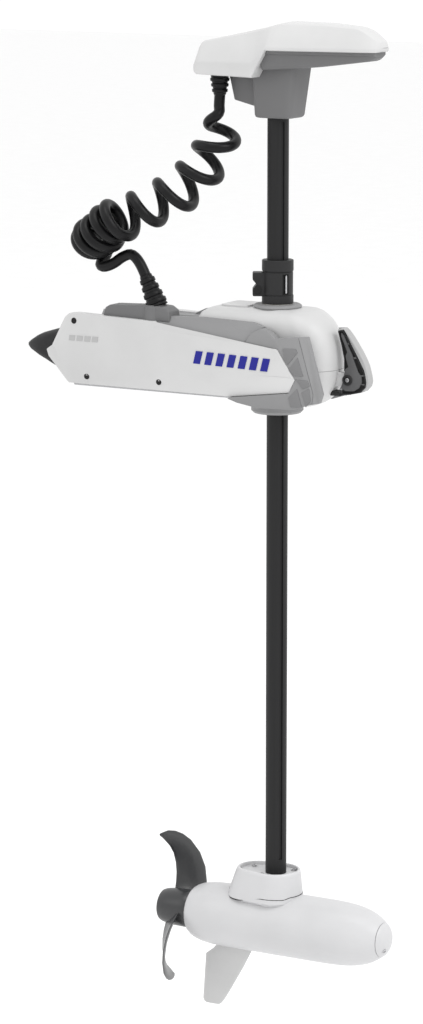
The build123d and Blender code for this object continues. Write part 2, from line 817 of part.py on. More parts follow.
socket_top = -820.0
socket_foot = slot_shape(47, 43, 45)
socket_rim = slot_shape(42, 36, 34)
socket_recess = slot_shape(37, 31, 34)
saddle_clearance = slot_shape(46.4, 42.4, 44)
with BuildPart() as shaft_socket:
    with BuildSketch(Plane.XY.offset(-872)):
        add(socket_foot)
    with BuildSketch(Plane.XY.offset(socket_top)):
        add(socket_rim)
    loft()
    with BuildSketch(Plane.XY.offset(socket_top - 6)):
        add(socket_recess)
    extrude(amount=10, mode=Mode.SUBTRACT)
    with BuildSketch(Plane.YZ):
        with Locations((0, pod_z)):
            Circle(pod_r + 0.3)
    extrude(amount=400, mode=Mode.SUBTRACT)
    with BuildSketch(Plane.XY.offset(pod_z)):
        add(saddle_clearance)
    extrude(amount=pod_r - 6.7, mode=Mode.SUBTRACT)
    with BuildSketch(Plane.XY.offset(shaft_bottom)):
        with Locations((shaft_x, 0)):
            Circle(shaft_r)
    extrude(amount=60, mode=Mode.SUBTRACT)
    with BuildSketch(Plane.XY.offset(-880)):
        with Locations((shaft_x, 0)):
            Circle(12)
    extrude(amount=60, mode=Mode.SUBTRACT)
pieces["shaft_socket"] = shaft_socket

socket_screw_places = [(214, -27), (187, -27), (150, 14), (222, 24)]
with BuildPart() as socket_screws:
    for x, y in socket_screw_places:
        with BuildSketch(Plane.XY.offset(socket_top - 5.8)):
            with Locations((x, y)):
                Circle(4.2)
                RegularPolygon(2.2, 6, mode=Mode.SUBTRACT)
        extrude(amount=3)
pieces["socket_screws"] = socket_screws

with BuildPart() as skeg:
    with BuildSketch(pod_plane.offset(-2.5)):
        with BuildLine():
            Polyline((84, -50), (84, -58), (62, -75), (56, -160), (60, -163), (90, -164), (102, -147),
                     (136, -88), (152, -58), (156, -50), close=True)
        make_face()
    extrude(amount=5)
    with BuildSketch(Plane.YZ.offset(40)):
        with Locations((0, pod_z)):
            Circle(pod_r + 0.3)
    extrude(amount=200, mode=Mode.SUBTRACT)
pieces["skeg"] = skeg

with BuildPart() as stator:
    with BuildSketch(Plane.YZ.offset(110)):
        with Locations((0, pod_z)):
            Circle(pod_chamber_r)
            Circle(31, mode=Mode.SUBTRACT)
    extrude(amount=80)
pieces["stator"] = stator

with BuildPart() as rotor:
    with BuildSketch(Plane.YZ.offset(112)):
        with Locations((0, pod_z)):
            Circle(30)
            Circle(prop_shaft_r, mode=Mode.SUBTRACT)
    extrude(amount=76)
pieces["rotor"] = rotor

with BuildPart() as prop_shaft:
    with BuildSketch(Plane.YZ.offset(-30)):
        with Locations((0, pod_z)):
            Circle(prop_shaft_r)
    extrude(amount=250)
    with BuildSketch(Plane(origin=(20, 0, pod_z), z_dir=(0, 0, 1))):
        Circle(2.5)
    extrude(amount=20, both=True, mode=Mode.SUBTRACT)
pieces["prop_shaft"] = prop_shaft

with BuildPart() as shaft_bearings:
    for start in (54, 204):
        with BuildSketch(Plane.YZ.offset(start)):
            with Locations((0, pod_z)):
                Circle(17)
                Circle(prop_shaft_r + running, mode=Mode.SUBTRACT)
        extrude(amount=9)
pieces["shaft_bearings"] = shaft_bearings

with BuildPart() as bearing_carrier:
    with BuildSketch(Plane.YZ.offset(200)):
        with Locations((0, pod_z)):
            Circle(pod_chamber_r)
    extrude(amount=16)
    with BuildSketch(Plane.YZ.offset(198)):
        with Locations((0, pod_z)):
            Circle(17)
    extrude(amount=30, mode=Mode.SUBTRACT)
pieces["bearing_carrier"] = bearing_carrier

with BuildPart() as shaft_seal:
    with BuildSketch(Plane.YZ.offset(40)):
        with Locations((0, pod_z)):
            Circle(17)
            Circle(prop_shaft_r + running, mode=Mode.SUBTRACT)
    extrude(amount=10)
pieces["shaft_seal"] = shaft_seal

with BuildPart() as motor_board:
    with BuildSketch(Plane.YZ.offset(250)):
        with Locations((0, pod_z)):
            Circle(48)
            Circle(6, mode=Mode.SUBTRACT)
    extrude(amount=1.6)
    with BuildSketch(Plane.YZ.offset(251.6)):
        with Locations((0, pod_z)):
            with PolarLocations(30, 6):
                Rectangle(12, 14)
    extrude(amount=10)
pieces["motor_board"] = motor_board

# ================================================================ propeller
# Each blade is swept far back: its root wraps round the hub and its tip trails.
# One station per row: radius, leading and trailing edge angle from port, and their places along X.
blade_stations = [
    (31.0, 0.0, 58.0, 20.0, -14.0),
    (60.0, 14.0, 66.0, 22.0, -16.0),
    (92.0, 38.0, 79.0, 14.0, -18.0),
    (120.0, 67.0, 95.0, 0.0, -19.0),
    (136.0, 90.0, 101.0, -13.0, -21.0),
]
blade_thickness = [8.0, 6.0, 4.5, 3.5, 2.5]
with BuildPart() as blade:
    for (radius, lead, trail, lead_x, trail_x), thick in zip(blade_stations, blade_thickness):
        middle = math.radians((lead + trail) / 2)
        chord = Vector(
            lead_x - trail_x,
            -2 * radius * math.sin(math.radians(trail - lead) / 2) * -math.sin(middle),
            -2 * radius * math.sin(math.radians(trail - lead) / 2) * math.cos(middle),
        )
        outward = Vector(0, math.cos(middle), math.sin(middle))
        centre = Vector(prop_x + (lead_x + trail_x) / 2, 0, pod_z) + outward * radius
        with BuildSketch(Plane(origin=centre, x_dir=chord, z_dir=outward)):
            RectangleRounded(chord.length, thick, thick * 0.45)
    loft(ruled=True)

with BuildPart() as propeller:
    with BuildSketch(pod_plane):
        with BuildLine():
            Polyline((-12, 0), (-12, 26), (-4, hub_outer_r - 1), (20, hub_outer_r), (35, hub_outer_r),
                     (35, 0), close=True)
        make_face()
    revolve(axis=pod_axis)
    for turn in (0, 180):
        add(blade.part.rotate(pod_axis, turn))
    with BuildSketch(Plane.YZ.offset(-30)):
        with Locations((0, pod_z)):
            Circle(prop_shaft_r)
    extrude(amount=80, mode=Mode.SUBTRACT)
    with BuildSketch(Plane(origin=(20, 0, pod_z), z_dir=(0, 0, 1))):
        Circle(2.5)
    extrude(amount=18, both=True, mode=Mode.SUBTRACT)
pieces["propeller"] = propeller

with BuildPart() as drive_pin:
    with BuildSketch(Plane(origin=(20, 0, pod_z - 16), z_dir=(0, 0, 1))):
        Circle(2.5)
    extrude(amount=32)
pieces["drive_pin"] = drive_pin

with BuildPart() as prop_nut:
    with BuildSketch(Plane.YZ.offset(-22)):
        with Locations((0, pod_z)):
            RegularPolygon(13, 6)
            Circle(prop_shaft_r, mode=Mode.SUBTRACT)
    extrude(amount=9.7)
pieces["prop_nut"] = prop_nut

# ================================================================ coiled cord
coil_route = [
    (98, -21, 470), (101, -23, 430), (69, -33, 366), (5, -57, 319), (-78, -86, 284),
    (-132, -59, 243), (-148, -42, 228),
]
with BuildPart() as cord_coil:
    with BuildLine() as coil_line:
        FilletPolyline(*coil_route, radius=corner_radii(coil_route))
    with BuildSketch(Plane(origin=coil_line.line @ 0, z_dir=coil_line.line % 0)):
        Circle(coil_r)
    sweep()
pieces["cord_coil"] = cord_coil

with BuildPart() as cord_upper_lead:
    with BuildSketch(Plane(origin=(*gland_top, 501))):
        Circle(cord_r)
    extrude(amount=-28)
    add(cord_coil.part, mode=Mode.SUBTRACT)
pieces["cord_upper_lead"] = cord_upper_lead

gland_mouth = gland_plane.from_local_coords((0, 0, 54.3))
above_gland = gland_plane.from_local_coords((0, 0, 96))
lower_route = [
    (-126, -57, 216), (-118, -58, 202), (-94, -58, 201), (-72, -58, 224),
    tuple(above_gland), tuple(gland_mouth),
]
with BuildPart() as cord_lower_lead:
    with BuildLine() as lead_line:
        FilletPolyline(*lower_route, radius=corner_radii(lower_route))
    with BuildSketch(Plane(origin=lead_line.line @ 0, z_dir=lead_line.line % 0)):
        Circle(cord_r)
    sweep()
    add(cord_coil.part, mode=Mode.SUBTRACT)
pieces["cord_lower_lead"] = cord_lower_lead

# ================================================================ files
os.makedirs("parts", exist_ok=True)
for name, piece in pieces.items():
    piece.part.label = name
    export_step(piece.part, f"parts/{name}.step")
print(len(pieces), "nodes")
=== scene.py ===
"""Looks of the bow-mount trolling motor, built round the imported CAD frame.

Shapes are written in millimetres in the frame's own axes (+X bow, +Y port, +Z up, z = 0 the deck)
and scaled to metres as each mesh is made.
"""

import json
import math

import bmesh
import bpy
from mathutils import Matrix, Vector, geometry


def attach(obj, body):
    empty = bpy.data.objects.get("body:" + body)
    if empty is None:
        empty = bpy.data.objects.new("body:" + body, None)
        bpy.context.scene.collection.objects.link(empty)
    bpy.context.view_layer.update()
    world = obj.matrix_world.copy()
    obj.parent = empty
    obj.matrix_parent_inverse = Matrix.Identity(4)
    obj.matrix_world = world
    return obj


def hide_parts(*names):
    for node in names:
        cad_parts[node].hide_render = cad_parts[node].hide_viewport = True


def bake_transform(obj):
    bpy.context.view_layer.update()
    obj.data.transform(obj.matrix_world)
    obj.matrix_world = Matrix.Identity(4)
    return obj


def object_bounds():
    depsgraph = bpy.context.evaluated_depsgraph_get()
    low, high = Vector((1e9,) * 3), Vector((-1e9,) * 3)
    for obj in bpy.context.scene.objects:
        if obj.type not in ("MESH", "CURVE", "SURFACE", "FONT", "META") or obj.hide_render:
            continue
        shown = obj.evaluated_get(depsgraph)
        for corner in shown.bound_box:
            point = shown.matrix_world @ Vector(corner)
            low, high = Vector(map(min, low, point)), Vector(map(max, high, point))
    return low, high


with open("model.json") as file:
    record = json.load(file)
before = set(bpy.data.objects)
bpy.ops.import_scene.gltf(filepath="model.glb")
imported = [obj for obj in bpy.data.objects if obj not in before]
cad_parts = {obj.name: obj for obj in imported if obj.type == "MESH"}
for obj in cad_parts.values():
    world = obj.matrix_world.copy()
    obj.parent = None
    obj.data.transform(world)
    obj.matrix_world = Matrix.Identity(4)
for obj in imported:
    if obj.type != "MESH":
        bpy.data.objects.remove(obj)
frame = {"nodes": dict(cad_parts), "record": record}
cad_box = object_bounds()
scene = bpy.context.scene
MM = 0.001

# ---------------------------------------------------------------- driving dimensions (mm)
shaft_x = 200.0
pod_z = -916.0
skin_inner = 62.4  # where the side covers start, from the middle plane
panel_face = 80.0  # the side covers' outer face, from the middle plane
lever_x = 338
lever_z = 38
cord_r = 9.25
coil_turn_r = 30.5  # of the cord's own centreline

# ---------------------------------------------------------------- finish of the meshes (degrees)
sharp_angle = 32.0  # an edge that turns further than this stays sharp
bevel_angle = 28.0  # an edge that turns further than this is rounded


# ================================================================ materials
def shader(name, color, roughness, metallic=0.0, coat=0.0, specular=0.5):
    """A material with its even values on the shader's own sockets, and the tools to vary them."""
    material = bpy.data.materials.new(name)
    material.use_nodes = True
    nodes = material.node_tree.nodes
    surface = nodes["Principled BSDF"]
    surface.inputs["Base Color"].default_value = (*color, 1)
    surface.inputs["Roughness"].default_value = roughness
    surface.inputs["Metallic"].default_value = metallic
    surface.inputs["Coat Weight"].default_value = coat
    surface.inputs["Coat Roughness"].default_value = 0.25
    surface.inputs["Specular IOR Level"].default_value = specular
    return material, nodes, material.node_tree.links, surface


def noise(nodes, links, scale, detail=3.0, stretch=(1, 1, 1)):
    """A noise texture in the piece's own space."""
    place = nodes.new("ShaderNodeTexCoord")
    mapping = nodes.new("ShaderNodeMapping")
    mapping.inputs["Scale"].default_value = stretch
    texture = nodes.new("ShaderNodeTexNoise")
    texture.inputs["Scale"].default_value = scale
    texture.inputs["Detail"].default_value = detail
    links.new(place.outputs["Object"], mapping.inputs["Vector"])
    links.new(mapping.outputs["Vector"], texture.inputs["Vector"])
    return texture


def ramp(nodes, links, source, low, high, start=0.3, end=0.7):
    """A colour ramp between two colours, driven by source."""
    colors = nodes.new("ShaderNodeValToRGB")
    colors.color_ramp.elements[0].position = start
    colors.color_ramp.elements[0].color = (*low, 1)
    colors.color_ramp.elements[1].position = end
    colors.color_ramp.elements[1].color = (*high, 1)
    links.new(source, colors.inputs["Fac"])
    return colors.outputs["Color"]


def vary_roughness(nodes, links, surface, source, low, high):
    """Lets the roughness follow source between two values."""
    spread = nodes.new("ShaderNodeMapRange")
    spread.inputs["To Min"].default_value = low
    spread.inputs["To Max"].default_value = high
    links.new(source, spread.inputs["Value"])
    links.new(spread.outputs["Result"], surface.inputs["Roughness"])


def bump(nodes, links, surface, source, strength, distance):
    """Raises a fine relief from source. distance is in metres."""
    relief = nodes.new("ShaderNodeBump")
    relief.inputs["Strength"].default_value = strength
    relief.inputs["Distance"].default_value = distance
    links.new(source, relief.inputs["Height"])
    links.new(relief.outputs["Normal"], surface.inputs["Normal"])


def painted_edge_highlight(nodes, links, color, edge, start, end):
    """Mixes an edge colour in where the surface is sharply convex, to paint a highlight there."""
    curvature = nodes.new("ShaderNodeNewGeometry")
    mask = ramp(nodes, links, curvature.outputs["Pointiness"], (0, 0, 0), (1, 1, 1), start, end)
    mix = nodes.new("ShaderNodeMix")
    mix.data_type = "RGBA"
    links.new(mask, mix.inputs["Factor"])
    links.new(color, mix.inputs["A"])
    mix.inputs["B"].default_value = (*edge, 1)
    return mix.outputs["Result"]


def tint(color, factor):
    """A lighter or darker copy of a colour."""
    return tuple(min(1.0, channel * factor) for channel in color)


def moulded(name, color, roughness, grain=900.0, relief=0.12, mottle=0.04, coat=0.0, edge=1.12,
            specular=0.3):
    """Moulded plastic or paint: a fine grain, a faint cloudiness and a painted highlight on sharp edges."""
    material, nodes, links, surface = shader(name, color, roughness, coat=coat, specular=specular)
    clouds = noise(nodes, links, scale=9.0, detail=4.0)
    fine = noise(nodes, links, scale=grain, detail=2.0)
    body = ramp(nodes, links, clouds.outputs["Fac"], tint(color, 1 - mottle), tint(color, 1 + mottle))
    # painted highlight: sharply convex edges are tinted lighter by the edge factor
    edged = painted_edge_highlight(nodes, links, body, tint(color, edge), start=0.53, end=0.62)
    links.new(edged, surface.inputs["Base Color"])
    vary_roughness(nodes, links, surface, clouds.outputs["Fac"], roughness - 0.07, roughness + 0.08)
    bump(nodes, links, surface, fine.outputs["Fac"], strength=relief, distance=0.0004)
    return material


def drawn(name, color, roughness, stretch, scale=420.0, metallic=0.0, mottle=0.12, relief=0.15):
    """Grain stretched along one axis: pultruded shaft, turned steel, laminations."""
    material, nodes, links, surface = shader(name, color, roughness, metallic=metallic, specular=0.25)
    grain = noise(nodes, links, scale, detail=3.0, stretch=stretch)
    body = ramp(nodes, links, grain.outputs["Fac"], tint(color, 1 - mottle), tint(color, 1 + mottle))
    links.new(body, surface.inputs["Base Color"])
    vary_roughness(nodes, links, surface, grain.outputs["Fac"], roughness - 0.08, roughness + 0.1)
    bump(nodes, links, surface, grain.outputs["Fac"], strength=relief, distance=0.0003)
    return material


def rubbery(name, color, roughness):
    """A soft jacket: a slow unevenness under a fine matt skin, with a faint dusty bloom."""
    material, nodes, links, surface = shader(name, color, roughness, specular=0.22)
    slow = noise(nodes, links, scale=45.0, detail=3.0)
    fine = noise(nodes, links, scale=1400.0, detail=2.0)
    body = ramp(nodes, links, slow.outputs["Fac"], tint(color, 0.8), tint(color, 1.35))
    links.new(body, surface.inputs["Base Color"])
    vary_roughness(nodes, links, surface, slow.outputs["Fac"], roughness - 0.1, roughness + 0.1)
    bump(nodes, links, surface, fine.outputs["Fac"], strength=0.12, distance=0.0003)
    return material


looks = {
    # one for each of the record's material slots
    "white_shell": moulded("white shell plastic", (0.54, 0.54, 0.54), 0.42, coat=0.1),
    "white_paint": moulded("white pod paint", (0.54, 0.54, 0.548), 0.38, grain=500.0, coat=0.1),
    "skeg_plastic": moulded("skeg plastic", (0.50, 0.50, 0.50), 0.55),
    "grey_trim": moulded("grey trim plastic", (0.235, 0.235, 0.238), 0.55, relief=0.2),
    "head_grey": moulded("dark grey plastic", (0.14, 0.14, 0.142), 0.55, relief=0.2),
    "shaft_black": drawn("pultruded shaft", (0.012, 0.012, 0.0125), 0.5, stretch=(1, 1, 0.02)),
    # edge sets how much lighter the painted highlight on sharp edges is
    "dark_plastic": moulded("glass filled nylon", (0.012, 0.012, 0.0125), 0.5, relief=0.3, mottle=0.15,
                            edge=1.8),
    "prop_plastic": moulded("propeller composite", (0.024, 0.0245, 0.026), 0.3, relief=0.15, mottle=0.1,
                            edge=1.7, specular=0.6),
    "cord_black": rubbery("cord jacket", (0.004, 0.004, 0.0045), 0.38),
    "bumper_black": rubbery("bumper rubber", (0.02, 0.02, 0.021), 0.6),
    "chassis_metal": drawn("anodised casting", (0.42, 0.42, 0.43), 0.45, stretch=(1, 1, 1),
                           scale=300.0, metallic=0.9),
    "steel": drawn("stainless steel", (0.52, 0.52, 0.53), 0.3, stretch=(0.1, 1, 1), scale=600.0,
                   metallic=1.0),
    "bearing_plastic": moulded("acetal", (0.6, 0.58, 0.5), 0.4),
    "gear_metal": drawn("machined gear steel", (0.45, 0.44, 0.42), 0.35, stretch=(1, 1, 0.1),
                        scale=500.0, metallic=1.0),
    "motor_parts": drawn("laminated core", (0.1, 0.1, 0.11), 0.5, stretch=(0.04, 1, 1), scale=700.0,
                         metallic=0.8),
    "board_green": moulded("circuit board", (0.03, 0.14, 0.06), 0.4, mottle=0.2),
    # for details; their calls also name one of the record's slots
    # painted shadow: a near black laid where a gap, hollow, well or slot lies in shade
    "recess": moulded("shadowed recess", (0.008, 0.008, 0.008), 0.7),
    "web_grey": moulded("lever web plastic", (0.085, 0.085, 0.087), 0.5, relief=0.3, mottle=0.1),
    "label_grey": moulded("pale grey film", (0.36, 0.36, 0.36), 0.4, relief=0.03),
    "lever_grey": moulded("pale lever plastic", (0.36, 0.36, 0.36), 0.45),
    "facet_grey": moulded("hinge facet plastic", (0.175, 0.175, 0.178), 0.5, relief=0.2),
    "decal_blue": moulded("blue stripe film", (0.008, 0.01, 0.2), 0.35, relief=0.03),
}

for part in frame["record"]["subparts"]:
    node = frame["nodes"][part["node"]]
    node.data.materials.clear()
    node.data.materials.append(looks[part["material_slot"]])


# ================================================================ mesh tools
def add_piece(name, shape, look, body, *nodes, slot=None, bevel=0.0, steps=2, sharp=sharp_angle):
    """Turns a bmesh in millimetres into a finished piece that rides on body and stands for nodes."""
    bmesh.ops.recalc_face_normals(shape, faces=shape.faces)
    bmesh.ops.scale(shape, vec=(MM, MM, MM), verts=shape.verts)
    mesh = bpy.data.meshes.new(name)
    shape.to_mesh(mesh)
    shape.free()
    piece = bpy.data.objects.new(name, mesh)
    scene.collection.objects.link(piece)
    if bevel:
        rounding = piece.modifiers.new("rounding", "BEVEL")
        rounding.width = bevel * MM
        rounding.segments = steps
        rounding.limit_method = "ANGLE"
        rounding.angle_limit = math.radians(bevel_angle)
        rounding.miter_outer = "MITER_ARC"
        settle(piece)
    piece.data.shade_smooth()
    piece.data.set_sharp_from_angle(angle=math.radians(sharp))
    piece.data.materials.append(looks[look])
    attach(piece, body)
    if nodes:
        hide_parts(*nodes)
    return piece


def settle(piece):
    """Applies a piece's modifiers to its mesh."""
    bpy.context.view_layer.update()
    graph = bpy.context.evaluated_depsgraph_get()
    final = bpy.data.meshes.new_from_object(piece.evaluated_get(graph))
    piece.modifiers.clear()
    piece.data = final


def loft(shape, rings, caps=True):
    """Skins rings of points that all have the same count."""
    made = [[shape.verts.new(point) for point in ring] for ring in rings]
    count = len(rings[0])
    for low, high in zip(made, made[1:]):
        for i in range(count):
            j = (i + 1) % count
            shape.faces.new((low[i], low[j], high[j], high[i]))
    if caps:
        shape.faces.new(made[0])
        shape.faces.new(made[-1])
    return made


def plate(outline, near, far):
    """A slab with an XZ outline. near and far are its two Y faces, each a number or a function."""
    def at(side, x, z):
        return side(x, z) if callable(side) else side

    shape = bmesh.new()
    loft(shape, [[(x, at(near, x, z), z) for x, z in outline],
                 [(x, at(far, x, z), z) for x, z in outline]])
    return shape


def turned(profile, origin, axis, sides=64):
    """A solid of revolution. profile is (distance along axis, radius) from end to end."""
    shape = bmesh.new()
    turn = Vector((0, 0, 1)).rotation_difference(Vector(axis)).to_matrix()
    rings = []
    for along, radius in profile:
        ring = []
        for i in range(sides):
            angle = 2 * math.pi * i / sides
            flat = Vector((radius * math.cos(angle), radius * math.sin(angle), along))
            ring.append(Vector(origin) + turn @ flat)
        rings.append(ring)
    loft(shape, rings)
    return shape


def between(points, at):
    """Straight-line interpolation through (position, value) points."""
    if at <= points[0][0]:
        return points[0][1]
    for (a, low), (b, high) in zip(points, points[1:]):
        if at <= b:
            return low + (high - low) * (at - a) / (b - a) if b > a else high
    return points[-1][1]


def smooth_step(share):
    """Eases from 0 to 1 as share does."""
    share = min(1.0, max(0.0, share))
    return share * share * (3 - 2 * share)


def rounded_plan(rear, front, half, rear_r, front_r, z, steps=10):
    """A ring at height z: a rectangle rounded by rear_r at its rear and front_r at its front."""
    ring = []
    corners = [(front - front_r, half - front_r, front_r, 0), (rear + rear_r, half - rear_r, rear_r, 90),
               (rear + rear_r, rear_r - half, rear_r, 180), (front - front_r, front_r - half, front_r, 270)]
    for x, y, radius, start in corners:
        for step in range(steps + 1):
            angle = math.radians(start + 90 * step / steps)
            ring.append((x + radius * math.cos(angle), y + radius * math.sin(angle), z))
    return ring


def mirrored(shape):
    """A copy of a bmesh, mirrored to the port side."""
    other = shape.copy()
    bmesh.ops.scale(other, vec=(1, -1, 1), verts=other.verts)
    return other


def both_sides(name, shape, look, body, *stems, **options):
    """Adds a starboard piece and its mirror image. stems are the CAD nodes' names without a side."""
    port = mirrored(shape)
    add_piece(f"{name}_right", shape, look, body, *[f"{stem}_right" for stem in stems], **options)
    add_piece(f"{name}_left", port, look, body, *[f"{stem}_left" for stem in stems], **options)


def carve(piece, tools):
    """Cuts the tool meshes out of a piece."""
    for tool in tools:
        bmesh.ops.recalc_face_normals(tool, faces=tool.faces)
        bmesh.ops.scale(tool, vec=(MM, MM, MM), verts=tool.verts)
        mesh = bpy.data.meshes.new("tool")
        tool.to_mesh(mesh)
        tool.free()
        cutter = bpy.data.objects.new("tool", mesh)
        scene.collection.objects.link(cutter)
        cut = piece.modifiers.new("cut", "BOOLEAN")
        cut.operation = "DIFFERENCE"
        cut.solver = "EXACT"
        cut.object = cutter
        settle(piece)
        bpy.data.objects.remove(cutter)
    piece.data.shade_smooth()
    piece.data.set_sharp_from_angle(angle=math.radians(sharp_angle))


# ================================================================ coiled cord
cord_route = [
    (100, -20, 501), (98, -21, 470), (101, -23, 430), (69, -33, 366), (5, -57, 319),
    (-78, -86, 284), (-132, -59, 243), (-148, -42, 228), (-126, -57, 216), (-118, -58, 202),
    (-94, -58, 201), (-72, -58, 224), (-43, -54, 233.8), (-25.2, -54, 196.1),
]
cord_sides = 16
ring_gap = 4.5  # between the rings of the cord's tube

# where the coil changes, as distances along its route
swing_from = 18.0
swing_run = 50.0
first_turn = 43.0  # turns are counted from here
slump_from = 296.0
slump_run = 30.0
tight_from = 300.0
coil_end = 396.5
lead_from = 496.0

loose_pitch = 55.0
tight_pitch = 20.0
turns_face = math.radians(30)  # azimuth from which the first turn swings out to the left
bridge_pull = 26.0  # how far the coil's last turn and the lead reach towards each other


def spline_line(points):
    """Points along a smooth NURBS spline whose control points are the route's."""
    curve = bpy.data.curves.new("route", "CURVE")
    curve.dimensions = "3D"
    curve.resolution_u = 32
    spline = curve.splines.new("NURBS")
    spline.points.add(len(points) - 1)
    for control, point in zip(spline.points, points):
        control.co = (*point, 1)
    spline.order_u = 3
    spline.use_endpoint_u = True
    holder = bpy.data.objects.new("route", curve)
    line = bpy.data.meshes.new_from_object(holder)
    found = [vertex.co.copy() for vertex in line.vertices]
    bpy.data.objects.remove(holder)
    bpy.data.meshes.remove(line)
    return found


def frames_along(line):
    """(distance, point, tangent, left) along a line, with left carried round its bends."""
    left = Vector((-math.cos(turns_face), -math.sin(turns_face), 0))
    distance = 0.0
    found = []
    for i, point in enumerate(line):
        before = line[max(i - 1, 0)]
        after = line[min(i + 1, len(line) - 1)]
        tangent = (after - before).normalized()
        left = (left - tangent * left.dot(tangent)).normalized()
        distance += (point - before).length
        found.append((distance, point, tangent, left))
    return found


def resample(points, gap):
    """Evenly spaced points along a line."""
    total = sum((b - a).length for a, b in zip(points, points[1:]))
    count = max(2, round(total / gap))
    spaced = [points[0]]
    wanted = total / count
    travelled = 0.0
    for a, b in zip(points, points[1:]):
        step = (b - a).length
        while step > 0 and travelled + step >= wanted * len(spaced) and len(spaced) < count:
            spaced.append(a.lerp(b, (wanted * len(spaced) - travelled) / step))
        travelled += step
    spaced.append(points[-1])
    return spaced


def coil_phase(distance):
    """Turns made by this point of the route, counted from the first one."""
    if distance < tight_from:
        return (distance - first_turn) / loose_pitch
    return (tight_from - first_turn) / loose_pitch + (distance - tight_from) / tight_pitch


def coil_swing(distance):
    """How far the cord's centreline swings out from this point of its route, a little unevenly."""
    slump = 0.11 * smooth_step((distance - slump_from) / slump_run)
    wander = (1 + 0.05 * math.sin(distance * 0.045) + 0.04 * math.sin(distance * 0.11 + 1)
              + slump * math.sin(distance * 0.21 + 0.6))
    return coil_turn_r * smooth_step((distance - swing_from) / swing_run) * wander


def coiled_path(sample_gap=0.4, bridge_points=60):
    """The centreline of the cord, wound round its route and then led down to the gland."""
    line = frames_along(spline_line(cord_route))
    coil = []
    lead = []
    for here, there in zip(line, line[1:]):
        start, start_point, start_tangent, start_left = here
        end, end_point, end_tangent, end_left = there
        steps = max(1, math.ceil((end - start) / sample_gap))
        for step in range(steps):
            share = step / steps
            distance = start + (end - start) * share
            point = start_point.lerp(end_point, share)
            if distance > lead_from:
                lead.append(point)
            elif distance < coil_end:
                tangent = start_tangent.lerp(end_tangent, share).normalized()
                left = start_left.lerp(end_left, share)
                left = (left - tangent * left.dot(tangent)).normalized()
                across = tangent.cross(left)
                angle = 2 * math.pi * coil_phase(distance)
                swing = coil_swing(distance)
                coil.append(point + swing * (math.cos(angle) * left + math.sin(angle) * across))
    lead.append(line[-1][1])
    leaving = coil[-1] + bridge_pull * (coil[-1] - coil[-2]).normalized()
    joining = lead[0] - bridge_pull * (lead[1] - lead[0]).normalized()
    bridge = geometry.interpolate_bezier(coil[-1], leaving, joining, lead[0], bridge_points)
    return resample(coil + bridge[1:-1] + lead, ring_gap)


def tube(path, radius, sides):
    """A round tube along a path, as a bmesh."""
    shape = bmesh.new()
    side = Vector((0, 1, 0)).cross(path[1] - path[0]).normalized()
    rings = []
    for i, point in enumerate(path):
        tangent = (path[min(i + 1, len(path) - 1)] - path[max(i - 1, 0)]).normalized()
        side = (side - tangent * side.dot(tangent)).normalized()
        other = tangent.cross(side)
        ring = []
        for number in range(sides):
            angle = 2 * math.pi * number / sides
            ring.append(point + radius * (math.cos(angle) * side + math.sin(angle) * other))
        rings.append(ring)
    loft(shape, rings)
    return shape


def weigh_by_ring(rings, sides):
    """Makes a weight for each vertex of a tube, the same for a whole ring, by the ring's place along the
    cord, and keeps it nowhere.
    """
    weights = []
    for ring in range(rings):
        weights += [ring / (rings - 1)] * sides


# The cord crosses three joints, so it is made as three stretches in series.
whole_path = coiled_path()
upper_share = 0.26  # of the whole path, from the head
middle_end = 0.44
cuts = [0, round(len(whole_path) * upper_share), round(len(whole_path) * middle_end), len(whole_path) - 1]
stretches = [
    ("cord_upper", ("shaft", "steer_hub"), 0.528, "cord_upper_lead"),
    ("cord_middle", ("steer_hub", "housing"), 0.364, "cord_coil"),
    ("cord_lower", ("housing", "base"), 1.130, "cord_lower_lead"),
]
for (name, bodies, length, node), start, end in zip(stretches, cuts, cuts[1:]):
    path = whole_path[start:end + 1]
    shape = tube(path, cord_r, cord_sides)
    bmesh.ops.recalc_face_normals(shape, faces=shape.faces)
    bmesh.ops.scale(shape, vec=(MM, MM, MM), verts=shape.verts)
    mesh = bpy.data.meshes.new(name)
    shape.to_mesh(mesh)
    shape.free()
    mesh.shade_smooth()
    mesh.set_sharp_from_angle(angle=math.radians(50))
    mesh.materials.append(looks["cord_black"])
    piece = bpy.data.objects.new(name, mesh)
    scene.collection.objects.link(piece)
    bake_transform(piece)
    weigh_by_ring(len(path), cord_sides)
    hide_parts(node)


def relief_profile(length, root, tip, rings):
    """A tapered sleeve with raised rings, as (distance, radius)."""
    profile = [(0, root * 0.98), (0.5, root)]
    for ring in range(rings):
        share = (ring + 0.7) / (rings + 0.5)
        here = root + (tip - root) * share
        half = length * 0.28 / (rings + 0.5)
        middle = length * share
        profile += [(middle - half - 0.6, here - 0.4), (middle - half, here + 1.2),
                    (middle - half + 0.8, here + 1.7), (middle + half - 0.8, here + 1.5),
                    (middle + half, here + 0.9), (middle + half + 0.6, here - 0.8)]
    return profile + [(length - 1.2, tip), (length, tip - 1.0)]


add_piece("upper_strain_relief", turned(relief_profile(32, 15.6, 10.5, 3), (100, -20, 533), (0, 0, -1)),
          "cord_black", "shaft", "cord_gland_upper", sharp=40)
gland_lean = math.atan2(25, 53)
gland_axis = Vector((-math.sin(gland_lean), 0, math.cos(gland_lean)))
gland_foot = Vector((-2, -54, 147)) - 3 * gland_axis  # 3 mm down inside the gland's boss
add_piece("lower_strain_relief", turned(relief_profile(57, 18, 10.5, 4), gland_foot, gland_axis),
          "cord_black", "base", "cord_gland_lower", sharp=40)

